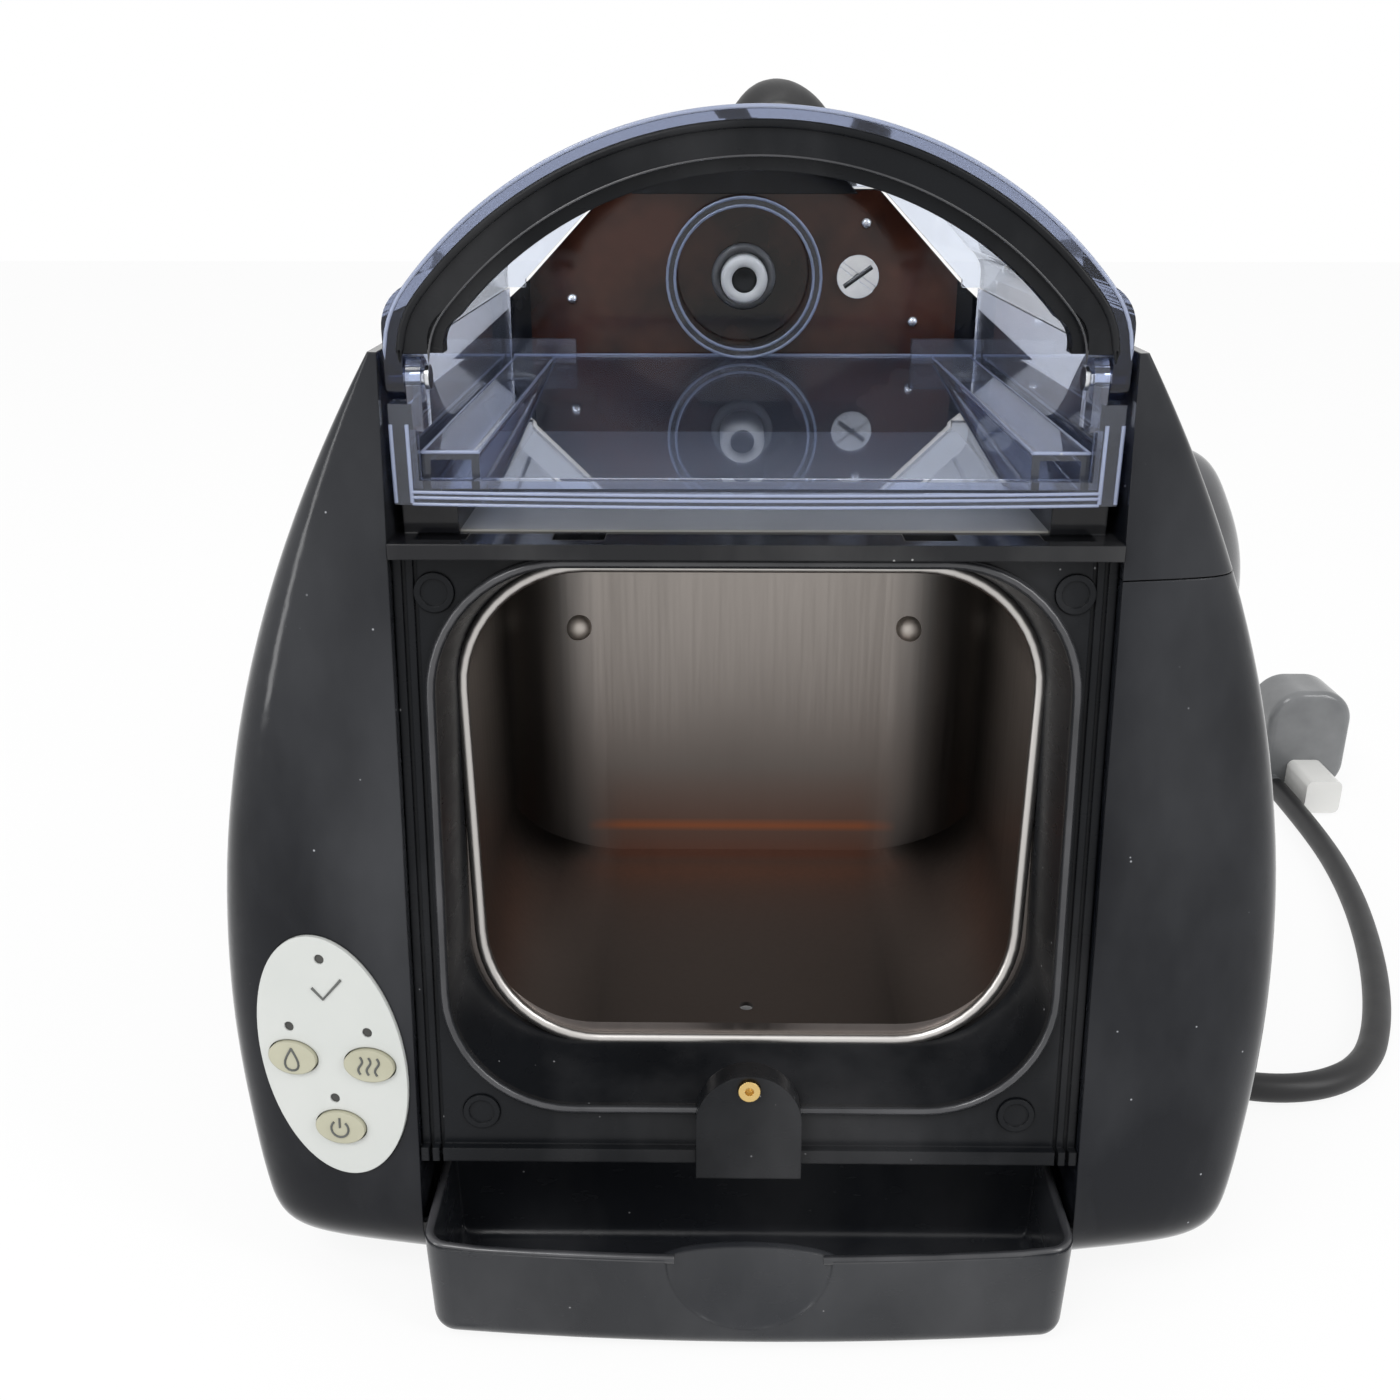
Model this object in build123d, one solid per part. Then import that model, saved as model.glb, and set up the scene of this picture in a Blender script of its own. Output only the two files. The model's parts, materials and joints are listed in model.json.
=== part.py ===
from build123d import *
import os
from math import atan, cos, radians, sin, sqrt, tan

os.makedirs("parts", exist_ok=True)

# Desk-top steam and ultrasonic jewellery cleaner.
# Millimetres. Z is up from the table, the front faces -Y, X = 0 is the middle of the body.

# Depth stations, as Y
rim_y = -73.0            # front rim of the clear hood
back_y = 107.0           # rear end of the side casings

# Fits and common thicknesses
wall = 2.5               # moulded casing wall
seam = 0.3               # gap between neighbouring casings
fit = 0.05               # radial clearance of pins and fitted spigots
loose = 0.25             # clearance round a button
beyond = 60.0            # how far a cutting form reaches past what it cuts

# Opening of the bezel round the steel compartment: it sets the width and height of the machine
open_w = 122.0
open_h = 112.0
open_mid_z = 104.25
open_r = 25.0
bezel_side = 7.2         # bezel beyond the opening, each side
bezel_half_x = open_w / 2 + bezel_side
bezel_bottom_z = open_mid_z - open_h / 2 - 12.25
bezel_plate = 3.0
bezel_recess = 2.5       # bezel face behind the casing edges
tunnel_depth = 17.0
tunnel_wall = 3.0
bead = 1.2
bead_w = 2.0
step_h = 3.0
step_t = 2.0
groove_xs = [bezel_half_x - 4.2, bezel_half_x - 2.0]
groove_w = 0.8
groove_t = 0.7
frame_screw_r = 3.8
gasket_t = 1.5
gasket_w = 2.0

# Deck under the clear hood
deck_z = open_mid_z + open_h / 2 + 4.75
deck_t = 3.0
deck_lead = 6.0
slot_w = 9.8
slot_d = 5.0
slot_xs = [bezel_half_x - 35.2, bezel_half_x - 9.2]

# Side casings
pod_inner_x = bezel_half_x + seam
pod_width = 42.8
pod_top_z = deck_z + 34.0
pod_widest_z = 68.5
pod_fade_height = 133.3
pod_fade_power = 2.035
pod_foot_tuck = 0.239
pod_foot_power = 1.842
casing_bottom_z = 4.0
rake_slope = 0.127       # how far the front leans back per unit of height
rake_top_z = deck_z + 1.0
pod_lead = 4.6           # casing edge ahead of the hood rim at rake_top_z
toe_z = 24.0             # the casing rounds under below this height
toe_tuck = 18.1
toe_power = 2.335
heel_tuck = 5.0
heel_power = 6.7
nose_depth = 22.5        # plan of the front: a flat curve that turns the outer corner
nose_slope = 0.15
nose_flat = 0.744
nose_side = 0.772
rear_share = 0.85        # casing width at the rear over its width at the front
crest_y = -61.0          # rear end of the tall front pods
roof_y = -13.0           # where the low rear roof starts
roof_z = deck_z + 13.0
cavity_top_z = deck_z + 23.0
inner_wall_depth = 20.0  # the casing's inner wall ends this far behind the hood rim
level_heights = [0.0, 1.5, 3.5, 6.0, 9.5, 14.0, 20.0, 30.0, 44.0, 60.0, 78.0, 98.0, 118.0, 138.0, 156.0, 172.0,
                 185.0, 195.0]

# Lift-off cap of the right pod, and the pocket behind it
cap_seam_z = deck_z - 7.0
cap_back_y = -46.0
cap_spigot = 6.0
knob_x = pod_inner_x + 23.0
knob_y = -21.0
knob_r = 19.8
knob_base_z = deck_z - 35.5
knob_skirt_z = knob_base_z + 9.5
knob_top_z = knob_base_z + 42.5
knob_flutes = 16
pocket_gap = 1.5

# Steel compartment
mouth_side = 3.0         # the compartment is this much narrower than the opening, each side
mouth_over = 5.0
liner_w = open_w - 2 * mouth_side
liner_h = open_h - 2 * mouth_over
liner_mid_z = open_mid_z + 1.75
liner_depth = 84.0       # back wall behind the hood rim
liner_t = 1.0
liner_corner = 22.0
lip = 1.7                # width of steel seen round the compartment's mouth
stud_x = liner_w / 2 - 15.4
stud_z = liner_mid_z + 13.0
stud_r = 3.2

# Clear hood: catch tray and dome
hood_half = bezel_half_x - 0.9
hood_depth = 140.0
clear_t = 3.3
floor_front_z = deck_z + 6.0
floor_rear_z = deck_z + 12.5
floor_t = 2.5
tray_top_z = deck_z + 33.0
dome_r = 81.5
dome_mid_z = deck_z - 6.5
dome_corner = 4.5
spring_drop = 1.655      # height of the rounded shoulder over its width
rail_top_z = deck_z + 15.4
rail_in_x = hood_half - 15.7
rail_out_x = hood_half - 5.0
rail_wall = 1.5
rail_bay = 95.0          # length of the space under each rail
pivot_z = deck_z + 29.0
pivot_back = 4.0
ear_r = 4.0
pin_r = 1.5
seal_outer = 4.7
seal_inner = 2.5
seal_depth = 6.0

# Dark panel at the rear of the hood, and the housing behind it
panel_half = hood_half - 8.8
panel_knee_x = panel_half - 22.5
panel_knee_z = deck_z + 35.0
panel_top_z = deck_z + 58.0
panel_t = 2.5
nozzle_z = deck_z + 36.0
ring_r = 20.7
ring_t = 2.4
ring_depth = 9.8
nozzle_r = 5.0
nozzle_collar_r = 7.0
nozzle_bore_r = 2.5
nozzle_reach = 12.8
panel_screw_x = 31.0
turret_foot_x = pod_inner_x + 15.5
crown_half = 28.6
crown_z = panel_top_z + 8.0

# Drip tray
drip_half = pod_inner_x - 1.75
drip_front = 33.7        # ahead of the hood rim
drip_bow = 3.0
drip_back = 1.5
drip_bottom_z = 0.8
drip_rim_z = 25.2
drip_wall = 1.8
drip_corner = 6.0
drip_bottom_r = 4.5
drip_draft = 0.8
drip_runner_z = 13.7
runner_t = 1.5
scoop_half = 17.0
scoop_in = 4.0
scoop_drop = 18.7

# Drain post
post_w = 21.6
post_top_z = 58.0
post_bottom_z = 35.0
post_t = 6.0
jet_r = 2.2
jet_drop = 2.8

# Drain hose
drain_y = -64.0
drain_z = 40.4
drain_r = 2.5
drain_bore_r = 1.6

# Control panel, laid out in its own plane
panel_x = pod_inner_x + 17.6
panel_z = 58.8
panel_a = 16.0
panel_b = 26.8
panel_tilt = -10.5       # degrees, the oval leans out at its top
panel_proud = 0.8
panel_sunk = 1.2
button_a = 5.4
button_b = 3.6
button_proud = 1.6
button_spots = {
    "clean_button": (8.3, -0.9),
    "steam_button": (-8.6, -0.7),
    "power_button": (-1.7, -15.7),
}
led_r = 1.0
led_spots = [(1.5, 21.7), (8.9, 5.9), (-8.2, 6.4), (-0.6, -9.3)]
flange_depth = 5.0
stem_depth = 8.0
switch_depth = 9.5
board_depth = 13.0
board_t = 1.6
board_w = 22.0
board_h = 50.0
board_post_r = 1.8

# Boiler in the right pod
boiler_x = pod_inner_x + 16.5
boiler_r = 17.0
boiler_bottom_z = 32.0
boiler_top_z = knob_base_z - 11.5
neck_r = 9.0
neck_top_z = knob_base_z + 10.5
boiler_t = 2.0
heater_r = 15.0
heater_t = 6.0
pipe_r = 3.0
pipe_bore_r = 1.6

# Floor of the machine
pan_t = 2.5
pan_half = pod_inner_x + 22.3
foot_r = 6.5
foot_x = pod_inner_x + 15.5
foot_ys = [-65.0, 87.0]
screw_r = 1.5
cover_t = 2.7
base_screw_x = pod_inner_x + 11.5
base_screw_ys = [-41.0, 67.0]
cover_screw_spots = [(pod_inner_x + 11.5, 18.0), (pod_inner_x + 18.0, 92.0), (pod_inner_x + 7.5, deck_z + 3.0)]
pan_z = casing_bottom_z + wall

# Electrics
driver_z = pan_z + pan_t + 6.0
driver_post_spots = [(x, y) for x in (-36.0, 36.0) for y in (27.0, 87.0)]
power_board_z = deck_z - 15.0
power_post_spots = [(x, y) for x in (-58.0, -16.0) for y in (25.0, 61.0)]

# Mains lead
cord_r = 3.75
coil_x = 90.0
coil_y = 164.0
coil_mean_r = 41.0
gland_base = (-13.0, back_y, 216.5)
gland_dir = (0.33, 0.62, 0.71)
gland_len = 17.3
plug_x = 220.8
plug_front = 166.0
plug_w = 31.0
plug_d = 24.0
plug_top = 41.5
cord_end_x = 209.8


def block(x0, x1, y0, y1, z0, z1):
    return Pos((x0 + x1) / 2, (y0 + y1) / 2, (z0 + z1) / 2) * Box(x1 - x0, y1 - y0, z1 - z0)


def rod(start, end, radius):
    """Round bar between two points."""
    start, end = Vector(*start), Vector(*end)
    return extrude(Plane(origin=start, z_dir=end - start) * Circle(radius), amount=(end - start).length)


def both_sides(shape):
    return shape + mirror(shape, about=Plane.YZ)


def side_prism(face, x0, x1):
    """Extrude a (Y, Z) outline from x0 to x1."""
    return Pos(x0, 0, 0) * extrude(Plane.YZ * face, amount=x1 - x0)


def front_prism(face, y0, y1):
    """Extrude an (X, Z) outline from y0 back to y1."""
    return extrude(Plane(origin=(0, y0, 0), x_dir=(1, 0, 0), z_dir=(0, -1, 0)) * face, amount=y0 - y1)


def polygon(*points):
    return make_face(Polyline(*points, close=True))


# Side casings

def pod_x(z):
    """Half width of the body at height z."""
    if z > pod_widest_z:
        share = 1 - ((z - pod_widest_z) / pod_fade_height) ** pod_fade_power
    else:
        drop = (pod_widest_z - z) / (pod_widest_z - casing_bottom_z)
        share = 1 - pod_foot_tuck * drop ** pod_foot_power
    return pod_inner_x + pod_width * share - heel_tuck * toe_share(z) ** heel_power


def toe_share(z):
    """0 above the rounded foot of the casing, 1 at its lower edge."""
    return max(0.0, toe_z - z) / (toe_z - casing_bottom_z)


def rake_y(z):
    """Front edge of the casings, leaning back with height."""
    return rim_y - pod_lead - (rake_top_z - z) * rake_slope


def pod_front(z):
    return rake_y(z) + toe_tuck * toe_share(z) ** toe_power


def pod_back_x(z):
    return pod_inner_x + rear_share * (pod_x(z) - pod_inner_x)


def nose_points(x_in, x_out, front):
    """Control points of the casing's front in plan."""
    width = x_out - x_in
    nose = nose_depth * width / pod_width
    return [(x_in, front), (x_in + nose_flat * width, front + nose_slope * nose_flat * width),
            (x_out, front + nose * (1 - nose_side)), (x_out, front + nose)]


def pod_section(z, inset=0.0, inner_inset=0.0):
    """Plan of the right casing at height z, drawn in by inset."""
    x_in = pod_inner_x + inner_inset
    x_out = pod_x(z) - inset
    back = back_y - inset
    x_back = pod_back_x(z) - inset
    nose = nose_points(x_in, x_out, pod_front(z) + inset)
    outline = [
        Line((x_in, back), nose[0]),
        Bezier(*nose),
        TangentArc(nose[-1], (x_back, back), tangent=(0, 1)),
        Line((x_back, back), (x_in, back)),
    ]
    return Pos(0, 0, z) * make_face(outline)


def pod_form(inset=0.0, inner_inset=0.0, bottom=casing_bottom_z, top=pod_top_z):
    scale_z = (top - bottom) / level_heights[-1]
    return loft([pod_section(bottom + scale_z * height, inset, inner_inset) for height in level_heights])


def roof_outline(drop):
    """Side view kept of a casing: tall at the front, low behind."""
    high = pod_top_z + 5 - drop
    crest = (crest_y, pod_top_z + 0.5 - drop)
    roof = (roof_y, roof_z - drop)
    edges = [
        Polyline((rim_y - beyond, -5), (rim_y - beyond, high), (crest_y, high), crest),
        Spline(crest, roof, tangents=[(1, 0), (1, 0)]),
        Polyline(roof, (back_y + beyond, roof_z - drop), (back_y + beyond, -5), (rim_y - beyond, -5)),
    ]
    return side_prism(make_face(edges), 0, pod_inner_x + 2 * pod_width)


pod_outer = pod_form() & roof_outline(0)
pod_inner = pod_form(wall, wall, casing_bottom_z + wall, cavity_top_z) & roof_outline(wall)


def bare_casing():
    """Hollow right-hand casing, open to the middle behind its inner front wall."""
    inner_end = rim_y + inner_wall_depth
    casing = pod_outer - pod_inner
    casing -= block(pod_inner_x - 1, pod_inner_x + wall + 0.1, inner_end, back_y - wall, pan_z, cap_seam_z - 3)
    casing += block(drip_half + seam, pod_inner_x + 0.5, rim_y - 15, rim_y + 18, drip_runner_z - 2, drip_runner_z)
    for x, z in cover_screw_spots:
        casing -= rod((x, back_y - 2 * wall, z), (x, back_y + 1, z), screw_r + fit)
    for y in base_screw_ys:
        casing -= rod((base_screw_x, y, 0), (base_screw_x, y, pan_z + 1), screw_r + fit)
        casing -= rod((base_screw_x, y, 0), (base_screw_x, y, casing_bottom_z + 1.2), 2 * screw_r + fit)
    return casing


# Control panel, drawn on the right and mirrored to the left at the end

def pod_surface_y(x, z):
    """Front surface of the casing at (x, z), by halving the curve's parameter range."""
    near, far = 0.0, 1.0
    points = nose_points(pod_inner_x, pod_x(z), pod_front(z))
    while far - near > 1e-9:
        t = (near + far) / 2
        weights = [(1 - t) ** 3, 3 * (1 - t) ** 2 * t, 3 * (1 - t) * t ** 2, t ** 3]
        if sum(weight * point[0] for weight, point in zip(weights, points)) < x:
            near = t
        else:
            far = t
    return sum(weight * point[1] for weight, point in zip(weights, points))


def control_plane():
    step = 0.5
    y = pod_surface_y(panel_x, panel_z)
    slope_x = (pod_surface_y(panel_x + step, panel_z) - pod_surface_y(panel_x - step, panel_z)) / (2 * step)
    slope_z = (pod_surface_y(panel_x, panel_z + step) - pod_surface_y(panel_x, panel_z - step)) / (2 * step)
    return Plane(origin=(panel_x, y, panel_z), x_dir=(1, slope_x, 0), z_dir=(slope_x, -1, slope_z))


panel_plane = control_plane()


def panel_prism(face, near, far):
    """Extrude an outline of the control panel's plane between two depths, outward positive."""
    return extrude(panel_plane.offset(near) * face, amount=far - near)


def spot(shape, place):
    return Pos(place[0], place[1]) * shape


def control_parts():
    skin = pod_form(-panel_proud, 0.0)
    sunk = pod_form(panel_sunk, 0.0)
    reach = 12.0
    oval = panel_prism(Rot(0, 0, panel_tilt) * Ellipse(panel_a, panel_b), -reach, reach)
    plate = (skin - sunk) & oval
    board = panel_prism(Rectangle(board_w, board_h), -board_depth - board_t, -board_depth)
    parts = {"control_board": board}
    switches = []
    for name, place in button_spots.items():
        hole = Ellipse(button_a + loose, button_b + loose)
        plate -= panel_prism(spot(hole, place), -reach, reach)
        cap_skin = pod_form(-button_proud, 0.0)
        cap = cap_skin & panel_prism(spot(Ellipse(button_a, button_b), place), -flange_depth, reach)
        flange = panel_prism(spot(Ellipse(button_a - 0.4, button_b + 1.2), place), -flange_depth - 1, -flange_depth)
        stem = panel_prism(spot(Circle(1.8), place), -stem_depth, -flange_depth)
        parts[name] = cap + flange + stem
        switch = panel_prism(spot(Rectangle(4.4, 6), place), -board_depth, -switch_depth)
        plunger = panel_prism(spot(Circle(1.6), place), -switch_depth, -stem_depth - 0.9)
        switches.append(switch + plunger)
    parts["tact_switches"] = Part() + switches
    lights = []
    light_skin = pod_form(0.3 - panel_proud, 0.0)
    for place in led_spots:
        plate -= panel_prism(spot(Circle(led_r + fit), place), -reach, reach)
        lights.append(light_skin & panel_prism(spot(Circle(led_r), place), -board_depth, reach))
    parts["indicator_leds"] = Part() + lights
    parts["control_panel"] = plate
    return parts, sunk


def left_casing(sunk):
    casing = bare_casing()
    reach = 12.0
    seat = Rot(0, 0, panel_tilt) * Ellipse(panel_a + 0.15, panel_b + 0.15)
    casing -= panel_prism(seat, -reach, reach) - sunk
    post_u, post_v = board_w / 2 - board_post_r, board_h / 2 - board_post_r
    for place in [(u, v) for u in (-post_u, post_u) for v in (-post_v, post_v)]:
        casing += panel_prism(spot(Circle(board_post_r), place), -board_depth, -wall) & sunk
    for place in button_spots.values():
        hole = Ellipse(button_a + loose, button_b + loose)
        casing -= panel_prism(spot(hole, place), -wall - 4, reach)
    for place in led_spots:
        casing -= panel_prism(spot(Circle(led_r + fit), place), -wall - 4, reach)
    return casing


# Right casing with the pocket for the boiler cap, and the lift-off pod cap

def pocket(radius, floor):
    return rod((knob_x, knob_y, floor), (knob_x, knob_y, pod_top_z + 20), radius)


def right_casing():
    casing = bare_casing()
    pocket_floor = knob_base_z - 1.0
    ledge = block(0, 200, rim_y - beyond, cap_back_y + seam + wall, cap_seam_z - wall, cap_seam_z)
    bulkhead = block(0, 200, cap_back_y + seam, cap_back_y + seam + wall, cap_seam_z - wall, pod_top_z + 5)
    above = block(0, 200, rim_y - beyond, cap_back_y + seam, cap_seam_z, pod_top_z + 5)
    casing -= above
    casing += pod_outer & (ledge + bulkhead)
    casing += spigot()
    casing += pod_outer & pocket(knob_r + pocket_gap + wall, pocket_floor - wall)
    casing -= pocket(knob_r + pocket_gap, pocket_floor)
    casing -= rod((knob_x, knob_y, pocket_floor - wall - 1), (knob_x, knob_y, pocket_floor + 1), neck_r + fit)
    return casing


def spigot():
    """Low plug on the ledge that the pod cap drops over."""
    core = pod_form(wall + 0.4, wall + 0.4, casing_bottom_z, cavity_top_z)
    return core & block(0, 200, rim_y - beyond, cap_back_y - wall - 0.4, cap_seam_z, cap_seam_z + cap_spigot)


def right_pod_cap():
    lid_space = block(0, 200, rim_y - beyond, cap_back_y, cap_seam_z + seam, pod_top_z + 5)
    hollow = pod_inner & block(0, 200, rim_y - beyond, cap_back_y - wall, 0, pod_top_z)
    return (pod_outer & lid_space) - hollow


# Bezel, gasket and steel compartment

bezel_angle = atan(rake_slope)
bezel_plane = Plane(
    origin=(0, rake_y(open_mid_z) + bezel_recess, open_mid_z),
    x_dir=(1, 0, 0),
    z_dir=(0, -cos(bezel_angle), sin(bezel_angle)),
)
mouth_w = liner_w + 2 * lip
mouth_h = liner_h + 2 * lip
mouth_rise = liner_mid_z - open_mid_z


def up_bezel(z):
    """Height z as a distance up the leaning bezel."""
    return (z - open_mid_z) / cos(bezel_angle)


def bezel_prism(face, near, far):
    return extrude(bezel_plane.offset(near) * face, amount=far - near)


def grown_opening(grow):
    return RectangleRounded(open_w + 2 * grow, open_h + 2 * grow, open_r + grow)


def bezel_screw_spots():
    upper = up_bezel(deck_z - 10.0)
    lower = up_bezel(bezel_bottom_z + 10.5)
    wide, narrow = open_w / 2 - 0.5, open_w / 2 - 5.5
    return [(wide, upper), (-wide, upper), (narrow, lower), (-narrow, lower)]


def front_bezel():
    top = up_bezel(deck_z - deck_t - 0.2)
    bottom = up_bezel(bezel_bottom_z)
    plate = bezel_prism(Pos(0, (top + bottom) / 2) * Rectangle(2 * bezel_half_x, top - bottom), -bezel_plate, 0)
    tunnel = bezel_prism(grown_opening(tunnel_wall), -tunnel_depth, 0)
    ring = bezel_prism(grown_opening(bead_w), 0, bead)
    step = bezel_prism(Pos(0, bottom + step_h / 2) * Rectangle(2 * bezel_half_x, step_h), 0, step_t)
    hole = loft([
        bezel_plane * grown_opening(0),
        bezel_plane.offset(-tunnel_depth) * Pos(0, mouth_rise) * RectangleRounded(mouth_w, mouth_h, open_r),
    ])
    bezel = plate + tunnel + ring + step - hole
    bezel -= bezel_prism(grown_opening(0), 0, 5)
    for x in groove_xs:
        groove = bezel_prism(Pos(x, (top + bottom) / 2) * Rectangle(groove_w, top - bottom + 1), -groove_t, 3)
        bezel -= both_sides(groove)
    for x, v in bezel_screw_spots():
        bezel -= bezel_prism(Pos(x, v) * Circle(frame_screw_r + 0.1), -2.0, 3)
        bezel -= bezel_prism(Pos(x, v) * Circle(screw_r + fit), -tunnel_depth, 0)
    bezel -= post_prism(0.0, 0.0, 5.0)
    bezel -= rod((0, rake_y(drain_z) - 10, drain_z), (0, drain_y, drain_z), drain_r + fit)
    return bezel - block(-100, 100, -200, 0, deck_z - deck_t - 0.2, 200)


def bezel_screws():
    screws = []
    for x, v in bezel_screw_spots():
        head = bezel_prism(Pos(x, v) * Circle(frame_screw_r), -2.0, 0.5)
        head -= bezel_prism(Pos(x, v) * Circle(frame_screw_r - 1.2), 0.1, 1)
        screws.append(head + bezel_prism(Pos(x, v) * Circle(screw_r), -9.0, -2.0))
    return Part() + screws


def post_prism(grow, near, far):
    low, high = up_bezel(post_bottom_z), up_bezel(post_top_z)
    half = post_w / 2 + grow
    shoulder = high - post_w / 2
    arch = ThreePointArc((half, shoulder), (0, shoulder + half), (-half, shoulder))
    return bezel_prism(make_face([arch, Polyline((-half, shoulder), (-half, low), (half, low), (half, shoulder))]),
                       near, far)


def drain_post():
    post = post_prism(0.0, 0.0, post_t)
    post -= bezel_prism(Pos(0, up_bezel(post_top_z - jet_drop)) * Circle(jet_r + fit), post_t - 2.5, post_t + 1)
    low, high = up_bezel(post_bottom_z) - 1, up_bezel(drain_z + drain_r)
    channel = Pos(0, (low + high) / 2) * Rectangle(2 * drain_r, high - low)
    return post - bezel_prism(channel, 0.0, post_t - 2.4)


def drain_jet():
    jet = bezel_prism(Pos(0, up_bezel(post_top_z - jet_drop)) * Circle(jet_r), post_t - 2.5, post_t + 1.0)
    return jet - bezel_prism(Pos(0, up_bezel(post_top_z - jet_drop)) * Circle(0.9), post_t - 0.5, post_t + 2.0)


def drain_tube():
    """Hose from the compartment's floor, through the bezel, to the back of the post."""
    top = liner_mid_z - liner_h / 2 - liner_t
    path = FilletPolyline((0, drain_y, top), (0, drain_y, drain_z), (0, rake_y(drain_z) - 5, drain_z), radius=5)
    ring = Plane(origin=(0, drain_y, top), z_dir=(0, 0, -1)) * (Circle(drain_r) - Circle(drain_bore_r))
    return sweep(ring, path=path) - bezel_prism(Rectangle(400, 400), 0, 100)


def compartment_form(grow, front_y):
    """Round-cornered box: rounded in front view, and rounded again at its rear in plan."""
    width = liner_w + 2 * grow
    back = rim_y + liner_depth + grow
    section = Pos(0, liner_mid_z) * RectangleRounded(width, liner_h + 2 * grow, open_r + grow)
    plan = Pos(0, (front_y + back) / 2) * Rectangle(width, back - front_y)
    plan = fillet(plan.vertices().sort_by(Axis.Y)[-2:], liner_corner + grow)
    return front_prism(section, front_y, back) & extrude(plan, amount=300)


def tank_liner():
    front = rim_y - 40
    solid = compartment_form(liner_t, front)
    flange_near = -tunnel_depth - gasket_t
    behind = bezel_prism(Rectangle(400, 400), flange_near - 200, flange_near)
    rim_h = open_h + 2 * (tunnel_wall - mouth_rise) - 0.5
    rim = RectangleRounded(open_w + 2 * tunnel_wall, rim_h, open_r + tunnel_wall)
    flange = bezel_prism(Pos(0, mouth_rise) * rim, flange_near - liner_t, flange_near)
    liner = (solid & behind) + flange - compartment_form(0.0, front)
    for x in (-stud_x, stud_x):
        liner += Pos(x, rim_y + liner_depth + 0.3, stud_z) * Sphere(stud_r)
    floor = liner_mid_z - liner_h / 2
    return liner - rod((0, drain_y, floor - 5), (0, drain_y, floor + 1), drain_bore_r)


def tank_gasket():
    height = open_h + 2 * (gasket_w - mouth_rise)
    outer = Pos(0, mouth_rise) * RectangleRounded(open_w + 2 * gasket_w, height, open_r + gasket_w)
    inner = Pos(0, mouth_rise) * RectangleRounded(mouth_w, mouth_h, open_r)
    return bezel_prism(outer - inner, -tunnel_depth - gasket_t, -tunnel_depth)


# Deck and hood

def top_deck():
    front = rim_y - deck_lead
    deck = block(-bezel_half_x, bezel_half_x, front, back_y - wall, deck_z - deck_t, deck_z)
    for x in slot_xs:
        deck -= both_sides(block(x - slot_w / 2, x + slot_w / 2, front + 3.5, front + 3.5 + slot_d, 0, 200))
    rail = polygon((rim_y + 2, deck_z), (rim_y + 2, hood_floor_z(2)),
                   (rim_y + hood_depth, hood_floor_z(hood_depth)), (rim_y + hood_depth, deck_z))
    deck += both_sides(side_prism(rail, hood_half - 11.3, hood_half - 0.8))
    deck -= rod((0, pipe_rise_y(), 0), (0, pipe_rise_y(), 200), pipe_r + 1.0)
    for x, y in power_post_spots:
        deck += rod((x, y, power_board_z), (x, y, deck_z - deck_t), 2.5)
    return deck


def hood_floor_z(depth, lift=0.0):
    """Underside of the clear floor at a depth behind the rim."""
    return floor_front_z + (floor_rear_z - floor_front_z) * depth / hood_depth + lift


def hood_tray():
    rear = rim_y + hood_depth
    under = [(rim_y, hood_floor_z(0)), (rear, hood_floor_z(hood_depth))]
    body = side_prism(polygon(under[0], under[1], (rear, tray_top_z), (rim_y, tray_top_z)), -hood_half, hood_half)
    inner_x = hood_half - clear_t
    bay = polygon((rim_y + 3, hood_floor_z(3, floor_t)), (rear + 1, hood_floor_z(hood_depth, floor_t)),
                  (rear + 1, tray_top_z + 1), (rim_y + 3, tray_top_z + 1))
    body -= side_prism(bay, -inner_x, inner_x)
    mouth = inner_x - 1.5
    body -= block(-mouth, mouth, rim_y - 1, rim_y + 4, hood_floor_z(0, floor_t + 2.0), tray_top_z + 1)
    bow = make_face([ThreePointArc((-inner_x, rim_y), (0, rim_y - 2.5), (inner_x, rim_y)),
                     Line((inner_x, rim_y), (-inner_x, rim_y))])
    body += Pos(0, 0, floor_front_z) * extrude(bow, amount=floor_t)
    rails = Part() + [hood_rail(), mirror(hood_rail(), about=Plane.YZ)]
    body += rails
    for side in (-1, 1):
        body = hinge_recess(body, side)
    return body


def hood_rail():
    """Level box rail on the sloping floor, hollow underneath, with a stop at its far end."""
    rear = rim_y + hood_depth - 6
    outline = polygon((rim_y + 3, hood_floor_z(3, 1)), (rear, hood_floor_z(hood_depth - 6, 1)),
                      (rear, rail_top_z), (rim_y + 3, rail_top_z))
    rail = side_prism(outline, rail_in_x, rail_out_x)
    hollow = polygon((rim_y, hood_floor_z(0, floor_t)), (rim_y + rail_bay, hood_floor_z(rail_bay, floor_t)),
                     (rim_y + rail_bay, rail_top_z - rail_wall), (rim_y, rail_top_z - rail_wall))
    rail -= side_prism(hollow, rail_in_x + rail_wall, rail_out_x - rail_wall)
    stop_low = hood_floor_z(hood_depth - 14, 1)
    stop = block(rail_in_x - 6.6, hood_half - clear_t + 0.1, rear - 8, rear - 5, stop_low, rail_top_z + 5.5)
    return rail + stop


def pivot(side, x):
    return (side * x, rim_y + pivot_back, pivot_z)


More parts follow.
